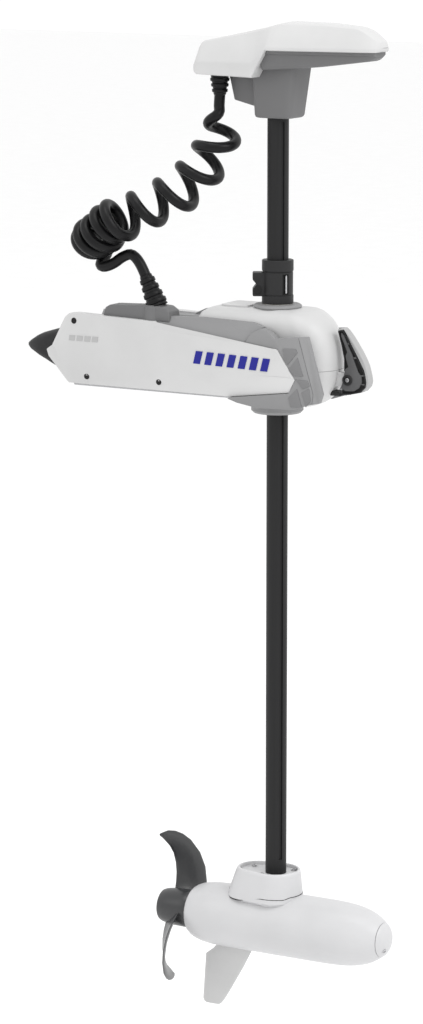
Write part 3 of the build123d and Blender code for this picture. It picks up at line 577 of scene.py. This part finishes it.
# ================================================================ control head
# heights and half widths along x
head_low = [(62, 548), (66, 539), (72, 536), (182, 534), (208, 579), (392, 579), (397, 581.5), (399, 585)]
head_ridge = [(62, 550), (66, 566), (74, 588), (80, 592.5), (196, 617), (226, 625), (300, 624),
              (356, 619.5), (370, 614), (396, 595), (399, 587)]
head_half = [(62, 40), (64, 46), (68, 50.5), (74, 53), (140, 58.5), (180, 62), (200, 63), (220, 61.6),
             (340, 38.5), (370, 33.5), (384, 29.5), (392, 24), (397, 15), (399, 8)]
head_shoulder = [(62, 549), (72, 556), (184, 557.5), (209, 583.5), (395, 584), (399, 586)]
head_roof = [(62, 0.8), (80, 0.72), (196, 0.66), (226, 0.6), (356, 0.55), (399, 0.7)]  # of the half width


def head_section(x):
    """One closed section of the control head's cover: upright rim, sloping flank, nearly flat roof."""
    low = between(head_low, x)
    ridge = between(head_ridge, x)
    shoulder = min(max(between(head_shoulder, x), low + 0.5), ridge - 0.3)
    half = between(head_half, x)
    rise = ridge - shoulder
    roof = half * between(head_roof, x)
    flank = half - roof
    side = [(half - 2.2, low), (half, low + 1.4), (half, shoulder - 0.02 * rise),
            (half - 0.01 * flank, shoulder + 0.02 * rise), (half - 0.05 * flank, shoulder + 0.08 * rise),
            (half - 0.5 * flank, shoulder + 0.52 * rise), (roof + 0.06 * flank, shoulder + 0.90 * rise),
            (roof - 0.02 * half, shoulder + 0.945 * rise), (roof - 0.06 * half, shoulder + 0.96 * rise),
            (0.3 * half, shoulder + 0.99 * rise), (0.0, ridge)]
    over = [(x, -y, z) for y, z in side]
    back = [(x, y, z) for y, z in reversed(side[:-1])]
    return over + back


stations = [62, 62.6, 64, 66, 69, 72, 76, 80, 90, 105, 120, 135, 150, 165, 178, 182, 186, 190, 194, 198,
            202, 206, 208, 212, 220, 228, 240, 255, 270, 285, 300, 315, 330, 342, 350, 358, 366, 372, 378,
            384, 388, 392, 395, 397, 398.4, 399]
head = bmesh.new()
loft(head, [head_section(x) for x in stations])
add_piece("head_shell", head, "white_shell", "shaft", "head_cover", sharp=16)

tray_low = [(196, 546), (289, 552.5), (378, 564), (385, 567), (390, 571)]


def tray_section(x):
    """One section of the tray under the head. Its belly stays below the step of its rim."""
    half = between(head_half, x) - 7
    low = between(tray_low, x)
    side = [(half, 579.2), (half, 574), (half - 3, 572.5), (half - 3.6, min(low + 5, 572)),
            (half - 6, min(low + 1.5, 571.5)), (half - 9.5, low)]
    return [(x, -y, z) for y, z in side] + [(x, y, z) for y, z in reversed(side)]


tray = bmesh.new()
loft(tray, [tray_section(x) for x in (196, 204, 214, 240, 270, 300, 330, 350, 366, 376, 382, 386, 389)])
add_piece("head_underside", tray, "head_grey", "shaft", "head_tray", sharp=30)

neck_foot = 466
neck = bmesh.new()
neck_rings = []
for z, inset in [(neck_foot, 5), (466.6, 2.6), (468, 1.0), (471, 0), (505, 0), (543, 0), (551, 0)]:
    share = (z - neck_foot) / 77
    middle = shaft_x + 3 + 3 * share
    half_x = 34 + 8 * share - inset
    half_y = 30 + 2 * share - inset
    neck_rings.append(rounded_plan(middle - half_x, middle + half_x, half_y, 9, 11, z, 6))
loft(neck, neck_rings)
add_piece("head_neck_shell", neck, "head_grey", "shaft", "head_neck", sharp=40)
add_piece("head_gusset", plate([(110, 536), (114, 526), (122, 493), (176, 480), (176, 536)], -10, 10),
          "head_grey", "shaft", bevel=1.6)

# ================================================================ deck mount
crease = [(-192, 66), (-98, 64), (-32, 61.5), (8, 59.5), (60, 51), (127, 45), (267, 47)]
panel_top = [(276, 42), (242, 91), (2, 109), (9, 122), (-150, 127), (-162, 125.5), (-170, 119), (-181, 86),
             (-197, 69)]
panel_bottom = [(-197, 69), (-211, 60), (-208, 48), (-171, 4), (150, 4), (263, 19), (276, 42)]


def panel_y(x, z):
    """The side cover's outer face: nearly flat above the crease, leaning in below it and at the tail."""
    drop = max(0.0, between(crease, x) - z)
    tail = max(0.0, -184 - x)
    return -(panel_face - 0.19 * drop - 0.16 * tail - 0.02 * max(0.0, z - 66))


def side_panel():
    """The starboard side cover: two facets that meet at the crease, a rim and a flat back."""
    shape = bmesh.new()
    rim = panel_top[:-1] + panel_bottom[:-1]
    face = {point: shape.verts.new((point[0], panel_y(*point), point[1])) for point in rim}
    for point in crease:
        face[point] = shape.verts.new((point[0], -panel_face, point[1]))
    shape.faces.new([face[p] for p in panel_top + crease])
    shape.faces.new([face[p] for p in panel_bottom + crease[::-1]])
    back = {point: shape.verts.new((point[0], -skin_inner, point[1])) for point in rim}
    for a, b in zip(rim, rim[1:] + rim[:1]):
        shape.faces.new((face[a], face[b], back[b], back[a]))
    shape.faces.new([back[p] for p in rim])
    bmesh.ops.triangulate(shape, faces=[f for f in shape.faces if len(f.verts) > 4])
    return shape


both_sides("side_panel", side_panel(), "white_shell", "base", "side_cover", bevel=1.6, steps=3, sharp=20)
bpy.context.view_layer.update()


def panel_surface(x, z):
    """How far from the middle plane the finished side cover's outer face lies."""
    _, place, _, _ = bpy.data.objects["side_panel_right"].ray_cast(Vector((x, -120, z)) * MM, (0, 1, 0))
    return -place.y / MM


fairing = [(3, 109), (178, 96.2), (190.6, 113), (209, 123.6), (188, 130), (94, 133), (29, 131), (9.4, 122)]
fairing_foot = [(2, 109), (178, 96)]


def fairing_y(x, z):
    """The fairing's outer face leans in above its lower edge."""
    return -78.5 + 0.52 * max(0.0, z - between(fairing_foot, x))


both_sides("side_fairing", plate(fairing, fairing_y, -skin_inner + 8), "grey_trim", "base", "fairing",
           bevel=1.4)

hinge = [(150.5, 3.6), (147, 1.6), (165, -4), (202, -10), (271, -8), (303, 2), (308, 6), (310, 20),
         (282, 112.6), (238, 108), (224, 120), (211.6, 123.6), (191.4, 113), (178.6, 96), (242.4, 91),
         (276.4, 42), (263.4, 18.6)]
both_sides("hinge_shell", plate(hinge, -78, -skin_inner), "grey_trim", "base", "hinge_cover", bevel=1.0)
hinge_edge = [(303.4, 2.2), (318, 5), (323, 20), (295, 114), (282.4, 112.7), (310.3, 20), (308.3, 6)]
hinge_front = [(-10, 318), (20, 323), (114, 295)]  # (height, x)


def edge_y(x, z):
    """The chamfered front edge of the hinge cover falls away from its outer face."""
    return -78 + 0.5 * max(0.0, 13 - between(hinge_front, z) + x)


both_sides("hinge_edge", plate(hinge_edge, edge_y, -skin_inner), "grey_trim", "base", bevel=0.8)

facets = [
    [(253, 93), (278, 94), (281, 88), (262, 66), (255, 76)],
    [(281, 80), (264, 59), (274, 49), (292, 49)],
    [(277, 43), (300, 43), (304, 34), (290, 28), (284, 36)],
    [(303, 30), (306, 9), (297, -2), (288, 22)],
    [(264, 12), (280, 28), (290, -3), (268, -4)],
]
for number, facet in enumerate(facets):
    both_sides(f"hinge_facet_{number}", plate(facet, -79.3, -77.5), "facet_grey", "base",
               slot="grey_trim", bevel=0.7)

for number in range(4):
    start = -162 + 15.2 * number
    block = [(start, 79), (start + 11.6, 79), (start + 13, 88), (start + 1.4, 88)]
    both_sides(f"side_label_{number}", plate(block, -80.3, -79), "label_grey", "base", slot="grey_trim")
for number in range(7):
    start = 83 + 21.4 * number
    drop = 0.6 * number
    stripe = [(start, 56.5 - drop), (start + 13, 56.2 - drop), (start + 18.5, 77.6 - drop),
              (start + 5.5, 78 - drop)]
    both_sides(f"side_stripe_{number}", plate(stripe, -80.35, -79), "decal_blue", "base", slot="grey_trim")

gland_box = [(-100, 120.4), (-94, 139), (-86, 143.5), (6, 147), (20, 146), (31, 139), (33, 120.4)]
add_piece("gland_housing", plate(gland_box, -72, -36), "head_grey", "base", "gland_cover", bevel=2.4,
          steps=3)
add_piece("gland_boss", turned([(0, 18), (20, 18), (25.5, 16.6), (27, 14.5)], (-6, -58, 120.6), (0, 0, 1)),
          "head_grey", "base", sharp=30)

bumper_top = [(-285, 58), (-283, 62), (-255, 79), (-225, 88), (-200, 94), (-162.5, 95)]
bumper_bottom = [(-285, 54), (-270, 47), (-232, 30), (-200, 13), (-162.5, 12)]
bumper_half = [(-285, 12), (-282, 20), (-270, 33), (-250, 44), (-225, 49), (-162.5, 50)]


def bumper_section(x, sides=32, squareness=3.2):
    """One section of the tail bumper: an oval with flattened sides."""
    top = between(bumper_top, x)
    bottom = between(bumper_bottom, x)
    half = between(bumper_half, x)
    ring = []
    for number in range(sides):
        angle = 2 * math.pi * number / sides
        across = math.cos(angle)
        up = math.sin(angle)
        reach = (abs(across) ** squareness + abs(up) ** squareness) ** (-1 / squareness)
        ring.append((x, half * across * reach, (top + bottom) / 2 + (top - bottom) / 2 * up * reach))
    return ring


bumper = bmesh.new()
loft(bumper, [bumper_section(x) for x in (-285, -284, -282, -277, -270, -260, -250, -238, -225, -212,
                                          -200, -188, -175, -162.5)])
add_piece("tail_bumper_skin", bumper, "bumper_black", "base", "tail_bumper", sharp=40)

# the screw wells are painted shadow, in the near-black recess look
screw_well = [(0, 5.2), (1.0, 5.2), (1.5, 4.6), (1.5, 3.4), (1.0, 2.6), (1.0, 0.4)]
for x, z in [(-152, 113), (-132, 18), (12, 19)]:
    for side, hand in ((-1, "right"), (1, "left")):
        face = panel_surface(x, z)
        add_piece(f"cover_screw_well_{hand}_{x + 200}",  # numbered from 200 mm behind the frame's origin
                  turned(screw_well, (x, side * (face - 0.7), z), (0, side, 0), 32),
                  "recess", "base", "side_cover_screws", slot="dark_plastic", sharp=25)

# ================================================================ tilting steering housing
# edges and half width at each height
front_edge = [(-12, 262), (-10, 274), (-5, 286), (2, 296), (10, 304), (20, 310), (34, 315), (48, 317.4),
              (62, 318), (80, 317), (96, 314), (110, 309.5), (122, 303.5), (132, 296.5), (140, 289),
              (146, 281), (149.4, 272), (150, 266)]
rear_edge = [(-12, 157), (12.9, 157), (13.1, 122), (20, 112), (34, 96), (50, 84), (60, 78), (80, 72),
             (100, 70), (130, 74), (140, 79), (147, 90), (150, 100)]
width_half = [(-12, 44), (-10, 48), (-5, 51.5), (4, 54), (122, 54), (132, 52.6), (140, 49), (146, 43.5),
              (149.4, 37), (150, 34)]


def housing_ring(z):
    """The steering housing's outline at height z."""
    half = between(width_half, z)
    return rounded_plan(between(rear_edge, z), between(front_edge, z), half, 8, min(46, half - 4), z, 12)


def housing_half_shape(heights):
    """The part of the steering housing between the first and the last height."""
    shape = bmesh.new()
    loft(shape, [housing_ring(z) for z in heights])
    return shape


def bore():
    """The hole through the housing that the steering hub turns in."""
    return turned([(-60, 27), (200, 27)], (shaft_x, 0, 0), (0, 0, 1))


upper_heights = [53.3, 54.2, 62, 72, 84, 96, 106, 115, 122, 127, 132, 136, 140, 143, 146, 148, 149.4, 150]
lower_heights = [-12, -11, -10, -7.5, -5, -2, 2, 6, 10, 12.9, 13.1, 20, 27, 34, 44, 51.8, 52.7]
upper = add_piece("housing_top_shell", housing_half_shape(upper_heights), "white_shell", "housing",
                  "housing_upper", sharp=35)
carve(upper, [bore()])
lower = add_piece("housing_bottom_shell", housing_half_shape(lower_heights), "white_shell", "housing",
                  "housing_lower", sharp=35)
carve(lower, [bore()])
lever_lug = [(302, 22), (328, 28.5), (338, 28.5), (344, 31.5), (347, 38), (344, 44.5), (338, 47.5),
             (328, 48), (302, 54)]
for side, hand in ((-1, "right"), (1, "left")):
    add_piece(f"lever_lug_{hand}", plate(lever_lug, side * 4.6, side * 1.8), "white_shell", "housing",
              bevel=0.8)
add_piece("lever_stop", plate([(305, 9.5), (324, 9.8), (324, 12), (318, 17.5), (305, 18.5)], -9, 9),
          "dark_plastic", "housing", bevel=1.0)

top_ring = [(150.2, 40), (152, 41), (154.4, 40), (156, 37), (156, 30)]
add_piece("hub_ring", turned(top_ring, (shaft_x, 0, 0), (0, 0, 1)), "grey_trim", "housing", "top_ring",
          sharp=28)

# ================================================================ depth collar
collar_profile = [(157.3, 25.6), (158.2, 26.5), (170.4, 26.5), (171.2, 25.7), (171.4, 24.9), (172.4, 24.9),
                  (172.6, 25.7), (209.6, 25.7), (209.8, 24.7), (211.2, 24.7), (211.4, 25.9), (212, 26.5),
                  (229, 26.5), (230, 25.6)]


def level(degrees):
    """A level direction, turned from the bow towards port."""
    angle = math.radians(degrees)
    return Vector((math.cos(angle), math.sin(angle), 0))


lug_out = level(210)
lug_side = Vector((0, 0, 1)).cross(lug_out)
slot_out = level(-30)
slot_side = Vector((0, 0, 1)).cross(slot_out)


def upright(outline, out, side, near, far):
    """A slab whose outline is (distance out from the shaft's axis, height)."""
    middle = Vector((shaft_x, 0, 0))
    shape = bmesh.new()
    loft(shape, [[middle + out * reach + side * y + Vector((0, 0, z)) for reach, z in outline]
                 for y in (near, far)])
    return shape


collar = add_piece("collar_skin", turned(collar_profile, (shaft_x, 0, 0), (0, 0, 1), 72), "dark_plastic",
                   "steer_hub", "collar_halves", sharp=28)
slot_cut = [(21.5, 173.5), (30, 173.5), (30, 207), (21.5, 207)]
slot_floor = [(21.2, 173.8), (21.9, 173.8), (21.9, 206.7), (21.2, 206.7)]
carve(collar, [upright(slot_cut, slot_out, slot_side, -5.6, 5.6)])
# the slot's floor is a dark sheet of painted shadow
add_piece("collar_slot_floor", upright(slot_floor, slot_out, slot_side, -5.4, 5.4), "recess", "steer_hub",
          slot="dark_plastic")
pin_foot = Vector((shaft_x, 0, 175)) + slot_out * 24.4 + slot_side * 1.6
add_piece("collar_pin", turned([(0, 1.2), (0.6, 1.7), (29.4, 1.7), (30, 1.2)], pin_foot, (0, 0, 1), 20),
          "steel", "steer_hub", sharp=30)
collar_lug = [(20, 169.6), (40.6, 169.6), (42, 171), (42, 181.4), (35.6, 189.5), (42, 197.2), (42, 207.4),
              (40.6, 209), (20, 209)]
for number, (near, far) in enumerate([(-13, -0.6), (0.6, 13)]):
    add_piece(f"collar_lug_{number}", upright(collar_lug, lug_out, lug_side, near, far), "dark_plastic",
              "steer_hub", bevel=0.9)
# the screw caps are dark discs of painted shadow where the screw holes are
screw_cap = [(-2.9, 6.8), (0, 6.8), (0.5, 6.2), (0.5, 1)]
for number, side in enumerate((-1, 1)):
    place = Vector((shaft_x, 0, 180)) + lug_out * 34 + lug_side * (16.1 * side)
    add_piece(f"collar_screw_cap_{number}", turned(screw_cap, place, lug_side * side, 28), "recess",
              "steer_hub", slot="dark_plastic", sharp=28)

# ================================================================ release lever
lever_edge = [(328, 12.6), (339, 13), (361, 18), (371, 27), (372, 36.2), (370, 46), (367.4, 55.5),
              (355.5, 77), (341.3, 100.6), (329.3, 120.7), (318.9, 119.1), (325.5, 96.7), (330.9, 73.6),
              (331.2, 52.3)]
lever_rim = lever_edge + [(333.2, 52.5), (332.9, 73.9), (327.6, 97), (322, 117.4), (328.3, 118.3),
                          (339.8, 99.4), (353.8, 76), (365.6, 54.8), (368, 45.8), (369.9, 36.3), (369, 28.2),
                          (360, 20.4), (339, 15.6), (328, 15.2)]
web = lever_edge + [(329.5, 38), (327, 25), (326.5, 13)]
boss_plate = [(325.5, 116.5), (330.7, 111.6), (339, 94), (345.7, 81.5), (350.9, 67.5), (357.6, 52.3),
              (363.6, 45), (364.4, 35.5), (359.5, 26.3), (349.9, 20.1), (334, 19.2), (325.8, 23.8),
              (328, 32), (333, 55.5), (339, 60), (335.3, 71.3), (333.8, 77.8), (336.7, 84.7),
              (331.5, 97.2), (325.5, 109.9)]
ribs = [
    [(338, 97), (341.5, 98.6), (340.5, 101), (337, 99.5)],
    [(349, 74), (355.5, 75), (355, 77.6), (348, 76.6)],
    [(362, 45.4), (370, 46.4), (370, 48.6), (361, 47.8)],
    [(363, 31.6), (371, 31), (371, 33), (363, 33.6)],
]
boss_profile = [(0, 9.3), (2.2, 9.3), (3, 8.4), (3, 5.4), (1.4, 5)]
bolt_cap = [(0, 3.4), (1.6, 3.4), (2.2, 2.6), (2.2, 1)]
# the web between the lever's plates is painted shade, in the near-black recess look
for side, hand in ((-1, "right"), (1, "left")):
    add_piece(f"lever_web_{hand}", plate(web, side * 7.2, side * 5.2), "recess", "release_lever",
              slot="dark_plastic")
    add_piece(f"lever_plate_{hand}", plate(boss_plate, side * 9.9, side * 6.9), "web_grey",
              "release_lever", slot="dark_plastic", bevel=0.7)
    for number, rib in enumerate(ribs):
        add_piece(f"lever_rib_{number}_{hand}", plate(rib, side * 9.3, side * 6.9), "web_grey",
                  "release_lever", slot="dark_plastic", bevel=0.4)
    add_piece(f"lever_boss_{hand}", turned(boss_profile, (lever_x, side * 9, lever_z), (0, side, 0), 40),
              "dark_plastic", "release_lever", sharp=28)
    add_piece(f"lever_bolt_cap_{hand}",
              turned(bolt_cap, (lever_x, side * 10.2, lever_z), (0, side, 0), 24), "steel",
              "release_lever", sharp=28)
add_piece("lever_rim", plate(lever_rim, -9.6, 9.6), "dark_plastic", "release_lever", "lever_frame",
          bevel=0.6)
pin_profile = [(-8.8, 2.6), (-8.6, 2.8), (8.6, 2.8), (8.8, 2.6)]
add_piece("lever_pin", turned(pin_profile, (lever_x, 0, lever_z), (0, 1, 0), 28), "steel", "housing",
          "lever_bolt", sharp=28)
lever_shell = [(318.6, 120.4), (320, 122), (328.5, 123.2), (334, 118.6), (342.6, 108.3), (350, 98),
               (357.3, 87.3), (364.5, 75.5), (370.6, 63.6), (375.3, 46.8), (376.8, 37), (374.8, 29),
               (366.5, 20), (364, 20.6), (371.2, 28.2), (372.4, 36.2), (370.6, 46.5), (368, 55.8),
               (356.1, 77.3), (342, 101), (330, 121), (319.4, 119.6)]
add_piece("lever_skin", plate(lever_shell, -8.6, 8.6), "lever_grey", "release_lever", "lever_cover",
          slot="white_shell", bevel=0.9)

# ================================================================ motor pod
pod_profile = [(38, 35), (38.6, 38), (41, 41.6), (46, 45.2), (54, 48.8), (66, 51.8), (82, 53.8),
               (100, 54.6), (140, 54.8), (220, 55), (300, 55), (320, 54.7), (336, 53.9), (350, 52.5),
               (362, 50.5), (373, 47.8), (383, 44.4), (392, 40.2), (399, 36), (404, 32.4), (406.6, 30.5),
               (407.3, 29.6), (407.3, 26)]
add_piece("pod_shell", turned(pod_profile, (0, 0, pod_z), (1, 0, 0), 96), "white_paint", "shaft",
          "motor_housing", sharp=30)
nose_profile = [(404, 27.6), (407.9, 27.6), (407.9, 28.9), (408.5, 29.4), (409.6, 28.7), (412.5, 25.4),
                (415.6, 21), (418, 16), (419.8, 10.6), (420.8, 5), (421, 1)]
# the gap before the nose is a dark band of painted shadow
add_piece("nose_gap", turned([(405, 28.4), (408.4, 28.4)], (0, 0, pod_z), (1, 0, 0), 96), "recess", "shaft",
          slot="dark_plastic")
add_piece("nose_dome", turned(nose_profile, (0, 0, pod_z), (1, 0, 0), 96), "white_paint", "shaft",
          "nose_cap", sharp=30)
add_piece("nose_screw", turned([(0, 4.2), (1.6, 4.2), (2.2, 3.6), (2.2, 2.4), (1, 2.2)],
                               (415.6, -12, pod_z - 15), (0.8, -0.36, -0.48), 24),
          "steel", "shaft", sharp=25)


def stadium(front_middle, front_r, rear_middle, rear_r, z, steps=18):
    """The outline round two circles on the middle plane, at height z."""
    lean = math.degrees(math.asin((front_r - rear_r) / (front_middle - rear_middle)))
    ring = []
    for middle, radius, start, end in ((front_middle, front_r, -90 - lean, 90 + lean),
                                       (rear_middle, rear_r, 90 + lean, 270 - lean)):
        for step in range(steps + 1):
            angle = math.radians(start + (end - start) * step / steps)
            ring.append((middle + radius * math.cos(angle), radius * math.sin(angle), z))
    return ring


saddle = bmesh.new()
loft(saddle, [stadium(213, 6, 190, 4, -890), stadium(206, 30, 170, 24, -886),
              stadium(200, 45.6, 156, 41.8, -873), stadium(200, 45.8, 155.6, 42, -869.6)])
add_piece("pod_saddle", saddle, "white_paint", "shaft", sharp=35)

socket = bmesh.new()
socket_rings = [stadium(200, 45, 156, 41.2, -871.6), stadium(200, 46.8, 155.3, 43, -871.6),
                stadium(200, 47.4, 155, 43.4, -871), stadium(200, 47.4, 155, 43.4, -868),
                stadium(200, 46.6, 156, 42, -862), stadium(200, 43, 164, 37, -826),
                stadium(200, 42.4, 165.4, 36.4, -822), stadium(200, 41, 166, 35, -820.2),
                stadium(200, 38.4, 166, 32.4, -820.2), stadium(200, 37.4, 166, 31.4, -821.4),
                stadium(200, 37, 166, 31, -826)]
loft(socket, socket_rings)
add_piece("socket_shell", socket, "white_paint", "shaft", "shaft_socket", sharp=35)


def seam_height(x, y):
    """The joint between socket and pod steps down over the flare on each side."""
    out = smooth_step((abs(y) - 22) / 12)
    step = 9.0 * smooth_step((165 - x) / 2.0) * out
    return -860.5 - step - 3.0 * out


# The seam is a thin band of painted shadow, 1.1 mm high, that stands a fifth of a millimetre proud of the
# socket.
seam_rings = []
for shift, proud in ((-0.55, -0.8), (-0.55, 0.22), (0.55, 0.22), (0.55, -0.8)):
    ring = []
    upper_ring = stadium(200, 46.45 + proud, 156.4, 41.8 + proud, 0, 48)
    flared_ring = stadium(200, 47.3 + proud, 155.1, 43.3 + proud, 0, 48)
    for (x, y, _), (flared_x, flared_y, _) in zip(upper_ring, flared_ring):
        z = seam_height(x, y)
        share = smooth_step((-861 - z) / 8)
        ring.append((x + (flared_x - x) * share, y + (flared_y - y) * share, z + shift))
    seam_rings.append(ring)
seam = bmesh.new()
loft(seam, seam_rings + [seam_rings[0]], caps=False)
bmesh.ops.remove_doubles(seam, verts=seam.verts, dist=0.0001)
add_piece("socket_seam", seam, "recess", "shaft", slot="dark_plastic")

skeg_columns = 10  # across the blade, on each side


def skeg_half(x, z):
    """Half the skeg's thickness: thickest just behind the middle, thin at both edges."""
    front = between([(-164, 92), (-145, 104), (-88, 137), (-50, 157)], z)
    rear = between([(-164, 60), (-75, 61), (-50, 84)], z)
    share = min(1.0, max(0.0, (x - rear) / (front - rear)))
    return 0.7 + 1.8 * math.sin(math.pi * min(1, share ** 0.8)) * between([(-164, 0.7), (-60, 1)], z)


def skeg_ring(z):
    """The skeg's section at height z from the pod's axis."""
    front = between([(-164, 88), (-161, 93), (-145, 104), (-88, 137), (-57, 153), (-48, 157)], z)
    rear = between([(-164, 63), (-162, 58.4), (-158, 56.2), (-75, 62), (-58, 84), (-48, 84)], z)
    ring = []
    for column in range(skeg_columns + 1):
        x = rear + (front - rear) * column / skeg_columns
        ring.append((x, -skeg_half(x, z), pod_z + z))
    for column in range(skeg_columns + 1):
        x = front - (front - rear) * column / skeg_columns
        ring.append((x, skeg_half(x, z), pod_z + z))
    return ring


skeg = bmesh.new()
loft(skeg, [skeg_ring(z) for z in (-48, -56, -64, -75, -90, -105, -120, -135, -148, -157, -162, -164)])
add_piece("skeg_blade", skeg, "skeg_plastic", "shaft", "skeg", sharp=50)

# ================================================================ propeller
prop_x = 4.0
blade_rows = [  # radius, leading and trailing edge's angle, their places along the axis, thickness
    (26.0, -4.0, 60.0, 19.0, -13.0, 9.0), (31.0, 0.0, 58.0, 20.0, -14.0, 8.0),
    (44.0, 6.0, 61.0, 21.5, -15.0, 7.0), (60.0, 14.0, 66.0, 22.0, -16.0, 6.2),
    (76.0, 25.0, 72.0, 19.0, -17.0, 5.4), (92.0, 38.0, 79.0, 14.0, -18.0, 4.7),
    (106.0, 52.0, 87.0, 7.5, -18.6, 4.0), (119.0, 66.5, 94.5, -0.5, -19.2, 3.3),
    (127.0, 76.5, 98.0, -6.0, -20.0, 2.7), (133.0, 85.0, 100.8, -11.0, -20.8, 2.1),
    (136.6, 92.0, 100.8, -15.0, -21.0, 1.4),
]


def blade_ring(radius, lead, trail, lead_x, trail_x, thick, turn, steps=14):
    """One foil section of a blade, wrapped round the propeller's axis at this radius."""
    ring = []
    for side in (1, -1):
        for step in range(steps + 1):
            share = step / steps if side == 1 else 1 - step / steps
            angle = math.radians(lead + (trail - lead) * share + turn)
            camber = 0.09 * (lead_x - trail_x) * math.sin(math.pi * share)
            half = thick / 2 * (0.16 + 0.84 * math.sin(math.pi * share ** 0.75) ** 0.8)
            x = prop_x + lead_x + (trail_x - lead_x) * share + camber + side * half
            ring.append((x, radius * math.cos(angle), pod_z + radius * math.sin(angle)))
    return ring


for turn, number in ((0, 1), (180, 2)):
    blade = bmesh.new()
    loft(blade, [blade_ring(*row, turn) for row in blade_rows])
    add_piece(f"blade_{number}", blade, "prop_plastic", "propeller", sharp=50)
hub_profile = [(-21.5, 17), (-24, 20), (-24, 25.5), (-22.8, 27.6), (-18, 29.6), (-8, 31.5), (4, 32.6),
               (20, 33), (33, 33), (35, 32), (35, 24)]
add_piece("prop_hub", turned(hub_profile, (0, 0, pod_z), (1, 0, 0), 72), "prop_plastic", "propeller",
          "propeller", sharp=30)

# ================================================================ stage, light and camera
floor_z = cad_box[0].z - 0.26  # below the pod when the shaft is let right down
bpy.ops.mesh.primitive_plane_add(size=60, location=(0, 0, floor_z))
floor = bpy.context.object
floor.name = "floor"
floor.data.materials.append(moulded("studio floor", (0.92, 0.92, 0.92), 0.9, grain=40.0, relief=0.02,
                                    mottle=0.01))

world = bpy.data.worlds.new("studio")
scene.world = world
world.use_nodes = True
sky = world.node_tree.nodes["Background"]
sky.inputs["Color"].default_value = (1, 1, 1, 1)
sky.inputs["Strength"].default_value = 1.06

centre = Vector((0.1043, -0.05525, -0.198))  # the middle of the view, in metres


def away(azimuth, elevation):
    """The direction from the object to a light or a camera. Azimuth 0 is to starboard."""
    return Vector((math.sin(azimuth) * math.cos(elevation),
                   -math.cos(azimuth) * math.cos(elevation),
                   math.sin(elevation)))


def area_light(name, azimuth, elevation, distance, size, power):
    """A soft light on a sphere round the object, aimed at its middle."""
    outwards = away(math.radians(azimuth), math.radians(elevation))
    light = bpy.data.lights.new(name, "AREA")
    light.size = size
    light.energy = power
    holder = bpy.data.objects.new(name, light)
    scene.collection.objects.link(holder)
    holder.location = centre + outwards * distance
    holder.rotation_euler = (-outwards).to_track_quat("-Z", "Y").to_euler()


area_light("key", azimuth=80, elevation=40, distance=6.0, size=2.8, power=105)
area_light("fill", azimuth=-35, elevation=30, distance=5.0, size=2.6, power=14)
area_light("top", azimuth=20, elevation=80, distance=8.0, size=4.0, power=150)

view_distance = 6.41
back = away(math.radians(30), math.radians(10.35))
camera = bpy.data.objects.new("camera", bpy.data.cameras.new("camera"))
scene.collection.objects.link(camera)
camera.data.lens = 133.6
camera.data.sensor_width = 36
camera.location = centre + back * view_distance
camera.rotation_euler = (-back).to_track_quat("-Z", "Y").to_euler()
scene.camera = camera
scene.view_settings.view_transform = "Standard"
